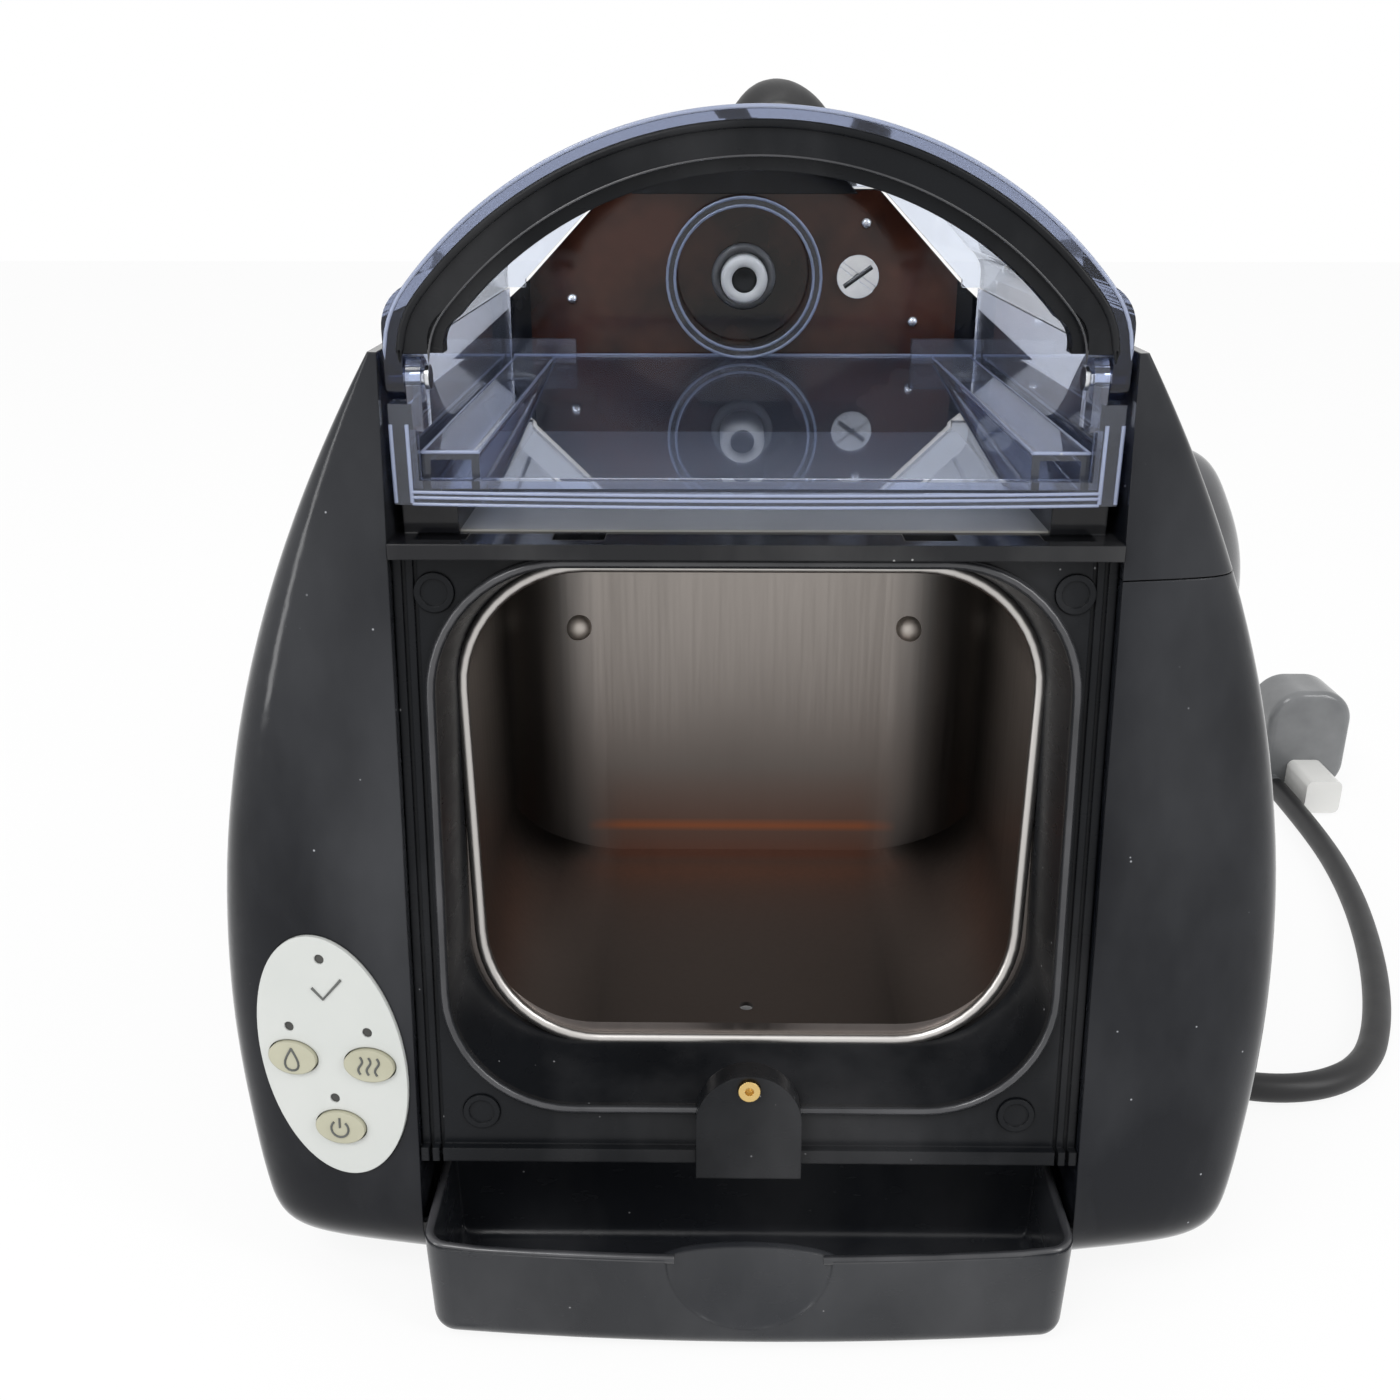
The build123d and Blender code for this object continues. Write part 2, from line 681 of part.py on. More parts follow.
def hinge_recess(body, side):
    """Open the wall for the dome's ear and add the lug that holds its pin."""
    x0, x1 = sorted((side * (hood_half - clear_t - 1.6), side * (hood_half + 1)))
    room = ear_r + seam
    body -= rod(pivot(side, abs(x0)), pivot(side, abs(x1)), room) if side > 0 \
        else rod(pivot(side, abs(x1)), pivot(side, abs(x0)), room)
    y_mid = rim_y + pivot_back
    body -= block(x0, x1, y_mid - 10, y_mid, pivot_z - room, tray_top_z + 1)
    body -= block(x0, x1, y_mid, y_mid + room, pivot_z, tray_top_z + 1)
    lug_in = hood_half - clear_t - 3.0
    lug_out = hood_half - clear_t - seam
    lug = rod(pivot(side, lug_in), pivot(side, lug_out), ear_r - 0.2)
    a, b = sorted((side * lug_in, side * lug_out))
    c, d = sorted((side * lug_in, side * (hood_half - 1)))
    low = pivot_z - room - 5
    lug += block(a, b, rim_y + 0.2, y_mid + ear_r - 0.2, low, pivot_z)
    lug += block(c, d, rim_y + 0.4, y_mid + ear_r - 0.5, low, pivot_z - room - 0.4)
    body += lug
    return body - rod(pivot(side, lug_in - 1), pivot(side, lug_out + 1), pin_r + fit)


def hood_pins():
    inner = hood_half - clear_t - 3.4
    return both_sides(rod(pivot(1, inner), pivot(1, hood_half - 0.3), pin_r)
                      + rod(pivot(1, inner - 0.8), pivot(1, inner), pin_r + 0.8))


def arch(inset, bottom):
    """Front view of the dome, drawn in by inset."""
    half = hood_half - inset
    radius = dome_r - inset
    corner = dome_corner - inset / 7
    knee_x = half - corner
    knee_z = dome_mid_z + sqrt(radius ** 2 - knee_x ** 2)
    spring_z = knee_z - spring_drop * corner
    return make_face([
        Polyline((half, spring_z), (half, bottom), (-half, bottom), (-half, spring_z)),
        TangentArc((half, spring_z), (knee_x, knee_z), tangent=(0, 1)),
        ThreePointArc((knee_x, knee_z), (0, dome_mid_z + radius), (-knee_x, knee_z)),
        TangentArc((-half, spring_z), (-knee_x, knee_z), tangent=(0, 1)),
    ])


def panel_outline(grow, bottom):
    half, knee_x, top = panel_half + grow, panel_knee_x + 0.4 * grow, panel_top_z + grow
    return polygon((-half, bottom), (-half, panel_knee_z + 0.4 * grow), (-knee_x, top),
                   (knee_x, top), (half, panel_knee_z + 0.4 * grow), (half, bottom))


def hood_dome():
    rear = rim_y + hood_depth
    bottom = tray_top_z + seam
    dome = front_prism(arch(0, bottom), rim_y, rear)
    dome -= front_prism(arch(clear_t, bottom - 5), rim_y - 1, rear - floor_t)
    dome -= front_prism(panel_outline(0.8, bottom - 5), rear - 10, rear + 1)
    for side in (-1, 1):
        near, far = hood_half - clear_t, hood_half
        ear = rod(pivot(side, near), pivot(side, far), ear_r)
        a, b = sorted((side * near, side * far))
        ear += block(a, b, rim_y, rim_y + 2 * ear_r, pivot_z, bottom + 0.5)
        dome += ear
        dome -= rod(pivot(side, near - 1), pivot(side, far + 1), pin_r + fit)
    return dome


def hood_seal():
    bottom = tray_top_z + seam + 0.3
    first, second, third = clear_t + fit, clear_t + fit + seal_outer, clear_t + fit + seal_outer + seal_inner
    outer = front_prism(arch(first, bottom), rim_y + 0.3, rim_y + seal_depth)
    outer -= front_prism(arch(second, bottom - 5), rim_y - 1, rim_y + seal_depth + 1)
    inner = front_prism(arch(second, bottom), rim_y + 1.8, rim_y + seal_depth)
    inner -= front_prism(arch(third, bottom - 5), rim_y - 1, rim_y + seal_depth + 1)
    return outer + inner


# Nozzle panel and the housing behind it

def panel_y():
    return rim_y + hood_depth + 0.8


def turret_y():
    return panel_y() + panel_t + 0.2


def rivet_spots():
    return [(-46.9, deck_z + 30.0), (32.9, deck_z + 49.7), (46.7, deck_z + 24.0)]


def nozzle_panel():
    y = panel_y()
    plate = front_prism(panel_outline(0.0, deck_z), y, y + panel_t)
    plate -= rod((0, y - 1, nozzle_z), (0, y + 5, nozzle_z), nozzle_r + fit)
    plate -= rod((panel_screw_x, y - 1, nozzle_z), (panel_screw_x, y + 5, nozzle_z), 2 + fit)
    for x, z in rivet_spots():
        plate -= rod((x, y - 1, z), (x, y + 1.5, z), 0.8 + fit)
    return plate


def nozzle_ring():
    y = panel_y()
    ring = rod((0, y - ring_depth, nozzle_z), (0, y, nozzle_z), ring_r)
    return ring - rod((0, y - ring_depth - 1, nozzle_z), (0, y + 1, nozzle_z), ring_r - ring_t)


def steam_nozzle():
    y = panel_y()
    body = rod((0, y - nozzle_reach, nozzle_z), (0, valve_y(), nozzle_z), nozzle_r)
    body += rod((0, y - 2, nozzle_z), (0, y, nozzle_z), nozzle_collar_r)
    body -= rod((0, y - nozzle_reach - 1, nozzle_z), (0, y - 3, nozzle_z), nozzle_bore_r)
    return body - rod((0, y - 4, nozzle_z), (0, valve_y() + 1, nozzle_z), pipe_bore_r)


def panel_screw():
    y = panel_y()
    x = panel_screw_x
    head = rod((x, y - 2.5, nozzle_z), (x, y, nozzle_z), 5.7)
    head -= Pos(x, y - 2.5, nozzle_z) * Rot(0, 35, 0) * Box(14, 2.0, 1.4)
    return head + rod((x, y, nozzle_z), (x, turret_y() + wall, nozzle_z), 2.0)


def panel_rivets():
    y = panel_y()
    rivets = []
    for x, z in rivet_spots():
        head = Pos(x, y, z) * Sphere(1.5) & block(x - 5, x + 5, y - 5, y, z - 5, z + 5)
        rivets.append(head + rod((x, y - 0.1, z), (x, y + 1.4, z), 0.8))
    return Part() + rivets


def turret_outline():
    foot, base = turret_foot_x, roof_z + seam
    knee, knee_x, top = panel_half + seam, panel_knee_x + seam, panel_top_z + seam
    line = Polyline((crown_half, top), (knee_x, top), (knee, panel_knee_z), (foot, base), (bezel_half_x, base),
                    (bezel_half_x, deck_z), (-bezel_half_x, deck_z), (-bezel_half_x, base), (-foot, base),
                    (-knee, panel_knee_z), (-knee_x, top), (-crown_half, top))
    return make_face([line, ThreePointArc((-crown_half, top), (0, crown_z), (crown_half, top))])


def nozzle_housing():
    y = turret_y()
    outline = turret_outline()
    hollow = offset(outline, amount=-wall, kind=Kind.INTERSECTION)
    housing = front_prism(outline, y, back_y) - front_prism(hollow, y + wall, back_y - wall)
    housing -= block(-bezel_half_x + wall, bezel_half_x - wall, y + wall, back_y - wall, deck_z - 1, deck_z + 8)
    housing -= rod((0, y - 1, nozzle_z), (0, y + wall + 1, nozzle_z), nozzle_r + fit)
    housing -= rod((panel_screw_x, y - 1, nozzle_z), (panel_screw_x, y + wall + 1, nozzle_z), 2 + fit)
    housing -= gland_rod(-8, 2, cord_r + 1.2 + fit)
    return housing


def valve_y():
    return turret_y() + wall


def pipe_rise_y():
    return valve_y() + 10.0


def steam_valve():
    y = valve_y()
    valve = block(-10, 10, y, y + 20, nozzle_z - 11, nozzle_z + 11)
    valve -= rod((0, y - 1, nozzle_z), (0, y + 8, nozzle_z), pipe_bore_r)
    return valve - rod((0, y + 10, nozzle_z - 12), (0, y + 10, nozzle_z - 4), pipe_bore_r)


def valve_coil():
    y = valve_y() + 10
    coil = rod((-36, y, nozzle_z), (-10, y, nozzle_z), 9.0)
    return coil + block(-33, -13, y - 9.8, y - 7, nozzle_z - 6, nozzle_z + 6)


# Drip tray

def tray_outline(grow):
    half = drip_half + grow
    front = rim_y - drip_front - grow
    back = rim_y - drip_back + grow
    face = make_face([
        Polyline((half, front), (half, back), (-half, back), (-half, front)),
        ThreePointArc((-half, front), (0, front - drip_bow), (half, front)),
    ])
    return fillet(face.vertices().sort_by(Axis.Y)[:2], drip_corner + grow)


def tray_form(inset, bottom, top):
    """The tray's outer form, drawn in by inset: sides spread a little and the lower edges are round."""
    low = Pos(0, 0, bottom) * tray_outline(-inset - drip_draft)
    high = Pos(0, 0, top) * tray_outline(-inset)
    form = loft([low, high], ruled=True)
    return fillet(form.edges().group_by(Axis.Z)[0], drip_bottom_r - inset)


def scoop(grow):
    """Shallow finger scoop in the middle of the tray's front."""
    bowl = scale(Sphere(1), by=(scoop_half + grow, scoop_in + grow, scoop_drop + grow))
    return Pos(0, rim_y - drip_front - drip_bow, drip_rim_z) * bowl


def drip_tray():
    bay = tray_form(drip_wall, drip_bottom_z + drip_wall, drip_rim_z) - scoop(drip_wall)
    tray = tray_form(0, drip_bottom_z, drip_rim_z) - bay - scoop(0)
    for side in (-1, 1):
        x0, x1 = sorted((side * (drip_half - drip_draft), side * (pod_inner_x - seam)))
        low = drip_runner_z + seam
        tray += block(x0, x1, rim_y - 14, rim_y - drip_back, low, low + runner_t)
    return tray


# Boiler and steam line

def boiler():
    body = rod((boiler_x, knob_y, boiler_bottom_z), (boiler_x, knob_y, boiler_top_z), boiler_r)
    body = fillet(body.edges().filter_by(GeomType.CIRCLE), 3.0)
    neck = rod((knob_x, knob_y, boiler_top_z - 3), (knob_x, knob_y, neck_top_z), neck_r)
    stub = rod((boiler_x, knob_y, outlet_z()), (boiler_x, knob_y + boiler_r + 4, outlet_z()), pipe_r + 1)
    body += neck + stub
    low, high = boiler_bottom_z + boiler_t, boiler_top_z - boiler_t
    body -= rod((boiler_x, knob_y, low), (boiler_x, knob_y, high), boiler_r - boiler_t)
    body -= rod((knob_x, knob_y, boiler_top_z - 4), (knob_x, knob_y, neck_top_z + 1), neck_r - boiler_t)
    return body - rod((boiler_x, knob_y, outlet_z()), (boiler_x, knob_y + boiler_r + 5, outlet_z()), pipe_bore_r)


def outlet_z():
    return boiler_top_z - 10.0


def boiler_cap():
    bore_r, bore_top = neck_r + seam, neck_top_z + 2.0
    dome = knob_top_z - knob_skirt_z
    profile = make_face([
        Polyline((bore_r, knob_base_z), (knob_r - 1.2, knob_base_z), (knob_r, knob_base_z + 1.2),
                 (knob_r, knob_skirt_z)),
        Spline((knob_r, knob_skirt_z), (0.71 * knob_r, knob_skirt_z + 0.71 * dome), (1.5, knob_top_z),
               tangents=[(0, 1), (-1, 0)]),
        Polyline((1.5, knob_top_z), (0, knob_top_z), (0, bore_top), (bore_r, bore_top), (bore_r, knob_base_z)),
    ])
    cap = Pos(knob_x, knob_y, 0) * revolve(Plane.XZ * profile, axis=Axis.Z)
    for turn in range(knob_flutes):
        angle = radians(turn * 360 / knob_flutes)
        x, y = knob_x + (knob_r + 0.9) * cos(angle), knob_y + (knob_r + 0.9) * sin(angle)
        cap -= rod((x, y, knob_base_z - 1), (x, y, knob_skirt_z - 1.5), 1.5)
    return cap


def cap_seal():
    ring = rod((knob_x, knob_y, neck_top_z + 0.1), (knob_x, knob_y, neck_top_z + 1.7), neck_r)
    return ring - rod((knob_x, knob_y, neck_top_z), (knob_x, knob_y, neck_top_z + 3), neck_r - 3)


def boiler_stand():
    low, high = pan_z + pan_t, boiler_bottom_z - heater_t
    stand = rod((boiler_x, knob_y, low), (boiler_x, knob_y, high), heater_r - 5)
    stand -= rod((boiler_x, knob_y, low - 1), (boiler_x, knob_y, high + 1), heater_r - 7)
    return stand - block(boiler_x - 30, boiler_x + 30, knob_y - 4, knob_y + 4, low + 4, high - 3)


def boiler_heater():
    high = boiler_bottom_z
    plate = rod((boiler_x, knob_y, high - heater_t), (boiler_x, knob_y, high), heater_r)
    for side in (-1, 1):
        x = boiler_x + 8 * side
        plate += block(x - 2, x + 2, knob_y + heater_r - 2, knob_y + heater_r + 6, high - 4, high - 3)
    return plate


def thermostat():
    x = boiler_x - 10.5
    body = rod((x, knob_y, boiler_top_z), (x, knob_y, boiler_top_z + 4), 5.5)
    for side in (-1, 1):
        y = knob_y + 2.5 * side
        body += block(x - 0.4, x + 0.4, y - 1.2, y + 1.2, boiler_top_z + 4, boiler_top_z + 7)
    return body


def thermal_fuse():
    y = knob_y - boiler_r - 3.0
    body = block(boiler_x - 5, boiler_x + 5, y, knob_y - boiler_r + 2, 66, 78)
    body += rod((boiler_x, y, 60), (boiler_x, y, 84), 2.2)
    return body - rod((boiler_x, knob_y, 0), (boiler_x, knob_y, 200), boiler_r)


def steam_pipe():
    start = Vector(boiler_x, knob_y + boiler_r + 4, outlet_z())
    rise = pipe_rise_y()
    route = FilletPolyline(
        start, (boiler_x, knob_y + 75, outlet_z()), (8, knob_y + 85, outlet_z() + 10),
        (0, rise, outlet_z() + 30), (0, rise, nozzle_z - 11), radius=12)
    ring = Plane(origin=start, z_dir=(0, 1, 0)) * (Circle(pipe_r) - Circle(pipe_bore_r))
    return sweep(ring, path=route)


# Electrics and floor of the machine

def transducers():
    top = liner_mid_z - liner_h / 2 - liner_t
    stack = []
    for x in (-28.0, 28.0):
        y = rim_y + 45
        horn = rod((x, y, top - 12), (x, y, top), 19.0)
        disc = rod((x, y, top - 18), (x, y, top - 12), 15.0)
        stack.append(horn + disc)
    return Part() + stack




def power_board():
    z = power_board_z
    board = block(-62, -12, rim_y + 94, rim_y + 138, z - board_t, z)
    relay = block(-55, -37, rim_y + 104, rim_y + 128, z - board_t - 15, z - board_t)
    fuse = rod((-28, rim_y + 104, z - board_t - 3), (-28, rim_y + 128, z - board_t - 3), 3.0)
    return board + relay + fuse




def driver_board():
    return block(-42, 42, rim_y + 93, rim_y + 167, driver_z, driver_z + board_t)


def driver_parts():
    z = driver_z + board_t
    transformer = block(-32, -6, rim_y + 118, rim_y + 142, z, z + 20)
    sink = block(8, 38, rim_y + 146, rim_y + 152, z, z + 26)
    cans = [rod((x, rim_y + 112, z), (x, rim_y + 112, z + 22), 6.0) for x in (6.0, 20.0, 34.0)]
    return Part() + [transformer, sink] + cans


def terminal_block():
    z = pan_z + pan_t
    strip = block(56, 82, rim_y + 150, rim_y + 162, z, z + 13)
    for x in (61.0, 69.0, 77.0):
        strip -= rod((x, rim_y + 156, z + 6), (x, rim_y + 156, z + 14), 2.2)
    return strip


def base_pan():
    z = pan_z
    pan = block(-pan_half, pan_half, rim_y + 23, back_y - wall - 1, z, z + pan_t)
    pan += block(-bezel_half_x, bezel_half_x, rim_y + 2, rim_y + 24, z, z + pan_t)
    for x, y in driver_post_spots:
        pan += rod((x, y, z + pan_t), (x, y, driver_z), 3.0)
    for y in base_screw_ys:
        pan -= both_sides(rod((base_screw_x, y, 0), (base_screw_x, y, 60), screw_r + fit))
    return pan


def base_screws():
    screws = []
    for x in (-base_screw_x, base_screw_x):
        for y in base_screw_ys:
            head = rod((x, y, casing_bottom_z), (x, y, casing_bottom_z + 1.2), 2 * screw_r)
            screws.append(head + rod((x, y, casing_bottom_z + 1.2), (x, y, pan_z + pan_t + 2), screw_r))
    return Part() + screws


def rubber_feet():
    feet = []
    for x in (-foot_x, foot_x):
        for y in foot_ys:
            foot = rod((x, y, 0), (x, y, casing_bottom_z), foot_r)
            feet.append(chamfer(foot.edges().filter_by(GeomType.CIRCLE).sort_by(Axis.Z)[0], 1.0))
    return Part() + feet


def rear_cover():
    low, high = casing_bottom_z + 2.0, roof_z - 0.5
    count = 9
    heights = [low + (high - low) * step / count for step in range(count + 1)]
    right = [(pod_back_x(z) - 0.6, z) for z in heights]
    left = [(-x, z) for x, z in right]
    face = make_face([Spline(*right), Line(right[-1], left[-1]), Spline(*left), Line(left[0], right[0])])
    cover = front_prism(face, back_y, back_y + cover_t)
    for row in range(11):
        x = -50.0 + 10.0 * row
        cover -= block(x - 1.5, x + 1.5, back_y - 1, back_y + 5, 96, 140)
    for x, z in cover_screw_spots:
        hole = rod((x, back_y - 1, z), (x, back_y + 5, z), screw_r + fit)
        sink = rod((x, back_y + cover_t - 1.7, z), (x, back_y + 5, z), 3.5 + fit)
        cover -= both_sides(hole + sink)
    return cover


def cover_screws():
    screws = Part()
    for x, z in cover_screw_spots:
        head = rod((x, back_y + cover_t - 1.7, z), (x, back_y + cover_t - 0.1, z), 3.5)
        shank = rod((x, back_y - 2 * wall, z), (x, back_y + cover_t - 1.7, z), screw_r)
        screws += both_sides(head + shank)
    return screws


# Mains lead: strain relief, free lengths, stored coil and plug

gland_axis = Vector(*gland_dir).normalized()
gland_start = Vector(*gland_base)
gland_end = gland_start + gland_axis * gland_len
floor_z = cord_r + 0.05

drop_route = [
    tuple(gland_end),
    tuple(gland_end + gland_axis * 24),
    (11.6, 152.9, 251.8), (24.4, 173.5, 246.8), (35.7, 191.0, 230.8), (43.8, 204.2, 200.8),
    (47.7, 211.4, 156.0), (48.4, 213.6, 114.0), (48.9, 213.4, 76.0), (48.3, 213.6, 44.0), (47.9, 202.5, 22.6),
    (46.4, 183.2, 8.6), (coil_x - coil_mean_r - cord_r, coil_y - 2.0, floor_z),
]
flank_route = [
    (coil_x, coil_y - coil_mean_r - cord_r, 3 * cord_r),
    (107.0, 119.6, 9.6), (122.5, 112.0, 6.4), (130.5, 95.0, 4.6), (129.0, 73.0, floor_z), (115.5, 47.0, floor_z + 0.02),
    (104.9, 25.0, floor_z), (104.5, 3.1, floor_z), (114.4, -14.1, floor_z), (131.6, -24.0, floor_z),
    (151.4, -24.0, floor_z), (168.6, -14.1, floor_z), (181.6, 8.4, floor_z), (194.0, 40.9, floor_z),
    (204.6, 81.5, floor_z), (cord_end_x, 123.2, floor_z), (cord_end_x, plug_front - 3, floor_z),
]


def route_radii(points):
    """Arc radius at each corner of a route, from its shorter run and its turn."""
    vectors = [Vector(*point) for point in points]
    radii = []
    for before, here, after in zip(vectors, vectors[1:], vectors[2:]):
        run_in, run_out = here - before, after - here
        turn = radians(run_in.get_angle(run_out))
        radii.append(0.45 * min(run_in.length, run_out.length) / tan(turn / 2))
    return radii


def cord_path(points):
    return FilletPolyline(*points, radius=route_radii(points))


def cord_sweep(points, radius):
    start = Vector(*points[0])
    section = Plane(origin=start, z_dir=Vector(*points[1]) - start) * Circle(radius)
    return sweep(section, path=cord_path(points))


def cord_tube(points):
    tube = cord_sweep(points, cord_r)
    length = cord_path(points).length
    print("cord length", round(length, 1), "volume share", round(tube.volume / (Circle(cord_r).area * length), 4),
          "radii", [round(radius, 1) for radius in route_radii(points)])
    return tube


def gland_rod(near, far, radius):
    return rod(tuple(gland_start + gland_axis * near), tuple(gland_start + gland_axis * far), radius)


def cord_gland():
    """Tapered strain relief, anchored inside the housing's rear wall."""
    plane = Plane(origin=gland_start, z_dir=gland_axis)
    taper = loft([plane.offset(-4) * Circle(cord_r + 2.2), plane.offset(gland_len) * Circle(cord_r + 0.9)])
    taper &= block(-100, 100, back_y + 0.1, back_y + 100, 0, 400)
    root = gland_rod(-7, 2, cord_r + 1.2)
    anchor = gland_rod(-9, -7, cord_r + 3.0) & block(-100, 100, 0, back_y - wall - 0.1, 0, 400)
    return taper + root + anchor


def cord_coil():
    """Outer form of the stored turns, two side by side and two high."""
    ring = Pos(coil_mean_r, 2 * cord_r + 0.05) * RectangleRounded(4 * cord_r, 4 * cord_r, cord_r - 0.1)
    coil = Pos(coil_x, coil_y, 0) * revolve(Plane.XZ * ring, axis=Axis.Z)
    return coil - cord_sweep(drop_route, cord_r + seam) - cord_sweep(flank_route, cord_r + seam)


def plug_body():
    face = Pos(plug_x, plug_top / 2) * RectangleRounded(plug_w, plug_top, 12.0)
    body = front_prism(face, plug_front, plug_front + plug_d)
    body = fillet(body.edges().filter_by(Plane.XZ), 3.0)
    return body + rod((cord_end_x, plug_front - 3, floor_z), (cord_end_x, plug_front + 8, floor_z), cord_r)


def plug_pins():
    pins = []
    for x in (plug_x - 3, plug_x + 3):
        pins.append(block(x - 1.5, x + 1.5, plug_front - 18, plug_front, 6, 10))
    return Part() + pins


def plug_cover():
    shell = Pos(plug_x, plug_front - 10, 7.5) * Box(13, 20, 13)
    shell = fillet(shell.edges().filter_by(Axis.Y), 2.5)
    return shell - Pos(plug_x, plug_front - 9, 7.5) * Box(10, 20, 10)


def build_all():
    controls, sunk = control_parts()
    nodes = {name: mirror(shape, about=Plane.YZ) for name, shape in controls.items()}
    nodes["left_shell"] = mirror(left_casing(sunk), about=Plane.YZ)
    nodes["right_shell"] = right_casing()
    makers = [
        right_pod_cap, tank_liner, tank_gasket, top_deck, hood_pins, hood_dome, hood_seal, nozzle_panel,
        nozzle_ring, steam_nozzle, panel_screw, panel_rivets, nozzle_housing, steam_valve, valve_coil, drip_tray,
        drain_post, drain_jet, drain_tube, boiler, boiler_cap, cap_seal, boiler_stand, boiler_heater, thermostat,
        thermal_fuse, steam_pipe, transducers, power_board, driver_board, driver_parts, terminal_block, base_pan,
        base_screws, rubber_feet, rear_cover, cover_screws, cord_gland, cord_coil, plug_body, plug_pins, plug_cover,
    ]
    for maker in makers:
        nodes[maker.__name__] = maker()
    nodes["front_frame"] = front_bezel()
    nodes["frame_screws"] = bezel_screws()
    nodes["hood_floor"] = hood_tray()
    nodes["power_cord"] = cord_tube(drop_route)
    nodes["plug_lead"] = cord_tube(flank_route)
    return nodes


for node, shape in build_all().items():
    export_step(shape, f"parts/{node}.step")
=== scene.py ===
import json
import math

import bmesh
import bpy
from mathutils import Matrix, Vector
from mathutils.bvhtree import BVHTree


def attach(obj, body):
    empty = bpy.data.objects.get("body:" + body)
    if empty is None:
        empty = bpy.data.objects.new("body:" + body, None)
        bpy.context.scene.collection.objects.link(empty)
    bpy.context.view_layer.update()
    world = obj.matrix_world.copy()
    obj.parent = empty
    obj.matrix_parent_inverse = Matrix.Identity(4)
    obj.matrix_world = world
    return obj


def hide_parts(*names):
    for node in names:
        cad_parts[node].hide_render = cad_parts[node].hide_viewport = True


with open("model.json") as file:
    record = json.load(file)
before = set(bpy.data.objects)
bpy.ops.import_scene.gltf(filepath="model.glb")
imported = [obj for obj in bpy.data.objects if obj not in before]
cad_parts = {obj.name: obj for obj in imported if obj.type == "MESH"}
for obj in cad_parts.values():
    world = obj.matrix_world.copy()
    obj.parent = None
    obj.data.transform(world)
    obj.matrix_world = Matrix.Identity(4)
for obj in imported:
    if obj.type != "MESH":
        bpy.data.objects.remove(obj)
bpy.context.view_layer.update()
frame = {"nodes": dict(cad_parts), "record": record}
nodes = frame["nodes"]

MM = 0.001


def add_object(name, data):
    """New object in the scene."""
    piece = bpy.data.objects.new(name, data)
    bpy.context.scene.collection.objects.link(piece)
    return piece


# Cord: the same route as the solids, in millimetres, then one curve in metres

cord_r = 3.75
gland_start = Vector((-13.0, 107.0, 216.5))
gland_axis = Vector((0.33, 0.62, 0.71)).normalized()
gland_len = 17.3
gland_end = gland_start + gland_axis * gland_len
floor_z = cord_r + 0.05
coil_x = 90.0
coil_y = 164.0
coil_mean_r = 41.0
coil_turns = 3.25
coil_points = 20                # in each turn
inward_turns = (0.7, 1.0)       # between these turns the coil steps inward, upward and outward again
upward_turns = (1.35, 1.65)
outward_turns = (2.2, 2.5)
gland_lead = 24                 # the lead's straight run out of the strain relief
plug_front = 166.0
cord_end_x = 209.8

drop_route = [
    tuple(gland_end),
    tuple(gland_end + gland_axis * gland_lead),
    (11.6, 152.9, 251.8), (24.4, 173.5, 246.8), (35.7, 191.0, 230.8), (43.8, 204.2, 200.8),
    (47.7, 211.4, 156.0), (48.4, 213.6, 114.0), (48.9, 213.4, 76.0), (48.3, 213.6, 44.0), (47.9, 202.5, 22.6),
    (46.4, 183.2, 8.6),
]
flank_route = [
    (107.0, 119.6, 9.6), (122.5, 112.0, 6.4), (130.5, 95.0, 4.6), (129.0, 73.0, floor_z),
    (115.5, 47.0, floor_z + 0.02), (104.9, 25.0, floor_z), (104.5, 3.1, floor_z), (114.4, -14.1, floor_z),
    (131.6, -24.0, floor_z), (151.4, -24.0, floor_z), (168.6, -14.1, floor_z), (181.6, 8.4, floor_z),
    (194.0, 40.9, floor_z), (204.6, 81.5, floor_z), (cord_end_x, 123.2, floor_z),
    (cord_end_x, plug_front - 3, floor_z),
]


def eased(value, start, end):
    """0 before start, 1 after end, and a smooth step between them."""
    share = min(1.0, max(0.0, (value - start) / (end - start)))
    return share * share * (3 - 2 * share)


def coil_route():
    """Turns of the stored length: outer and low, inner and low, inner and high, outer and high."""
    places = []
    for step in range(int(coil_turns * coil_points) + 1):
        turn = step / coil_points
        angle = math.pi + turn * math.tau
        side = 1 - 2 * eased(turn, *inward_turns) + 2 * eased(turn, *outward_turns)
        radius = (coil_mean_r + side * cord_r) / math.cos(math.pi / coil_points)
        height = floor_z + 2 * cord_r * eased(turn, *upward_turns)
        places.append((coil_x + radius * math.cos(angle), coil_y + radius * math.sin(angle), height))
    return places


def round_curve(name, kind, places, radius, roundness, closed=False, steps=12):
    """Curve of round section along places in millimetres."""
    curve = bpy.data.curves.new(name, "CURVE")
    curve.dimensions = "3D"
    curve.bevel_depth = radius * MM
    curve.bevel_resolution = roundness
    curve.resolution_u = steps
    curve.use_fill_caps = not closed
    line = curve.splines.new(kind)
    line.points.add(len(places) - 1)
    for point, spot in zip(line.points, places):
        point.co = (spot[0] * MM, spot[1] * MM, spot[2] * MM, 1)
    line.use_cyclic_u = closed
    line.use_smooth = True
    return curve


cord_curve = round_curve("mains_cord", "NURBS", drop_route + coil_route() + flank_route, cord_r, 8, steps=10)
cord_curve.splines[0].order_u = 3
cord_curve.splines[0].use_endpoint_u = True
cord = add_object("mains_cord", cord_curve)


# Camera, at the photograph's place

focal_px = 1390.0
frame_px = 1400.0
sensor_mm = 36.0
camera_place = (-7.3, -328.0, 232.4)
camera_pitch = 21.5      # degrees below level
camera_yaw = 0.66

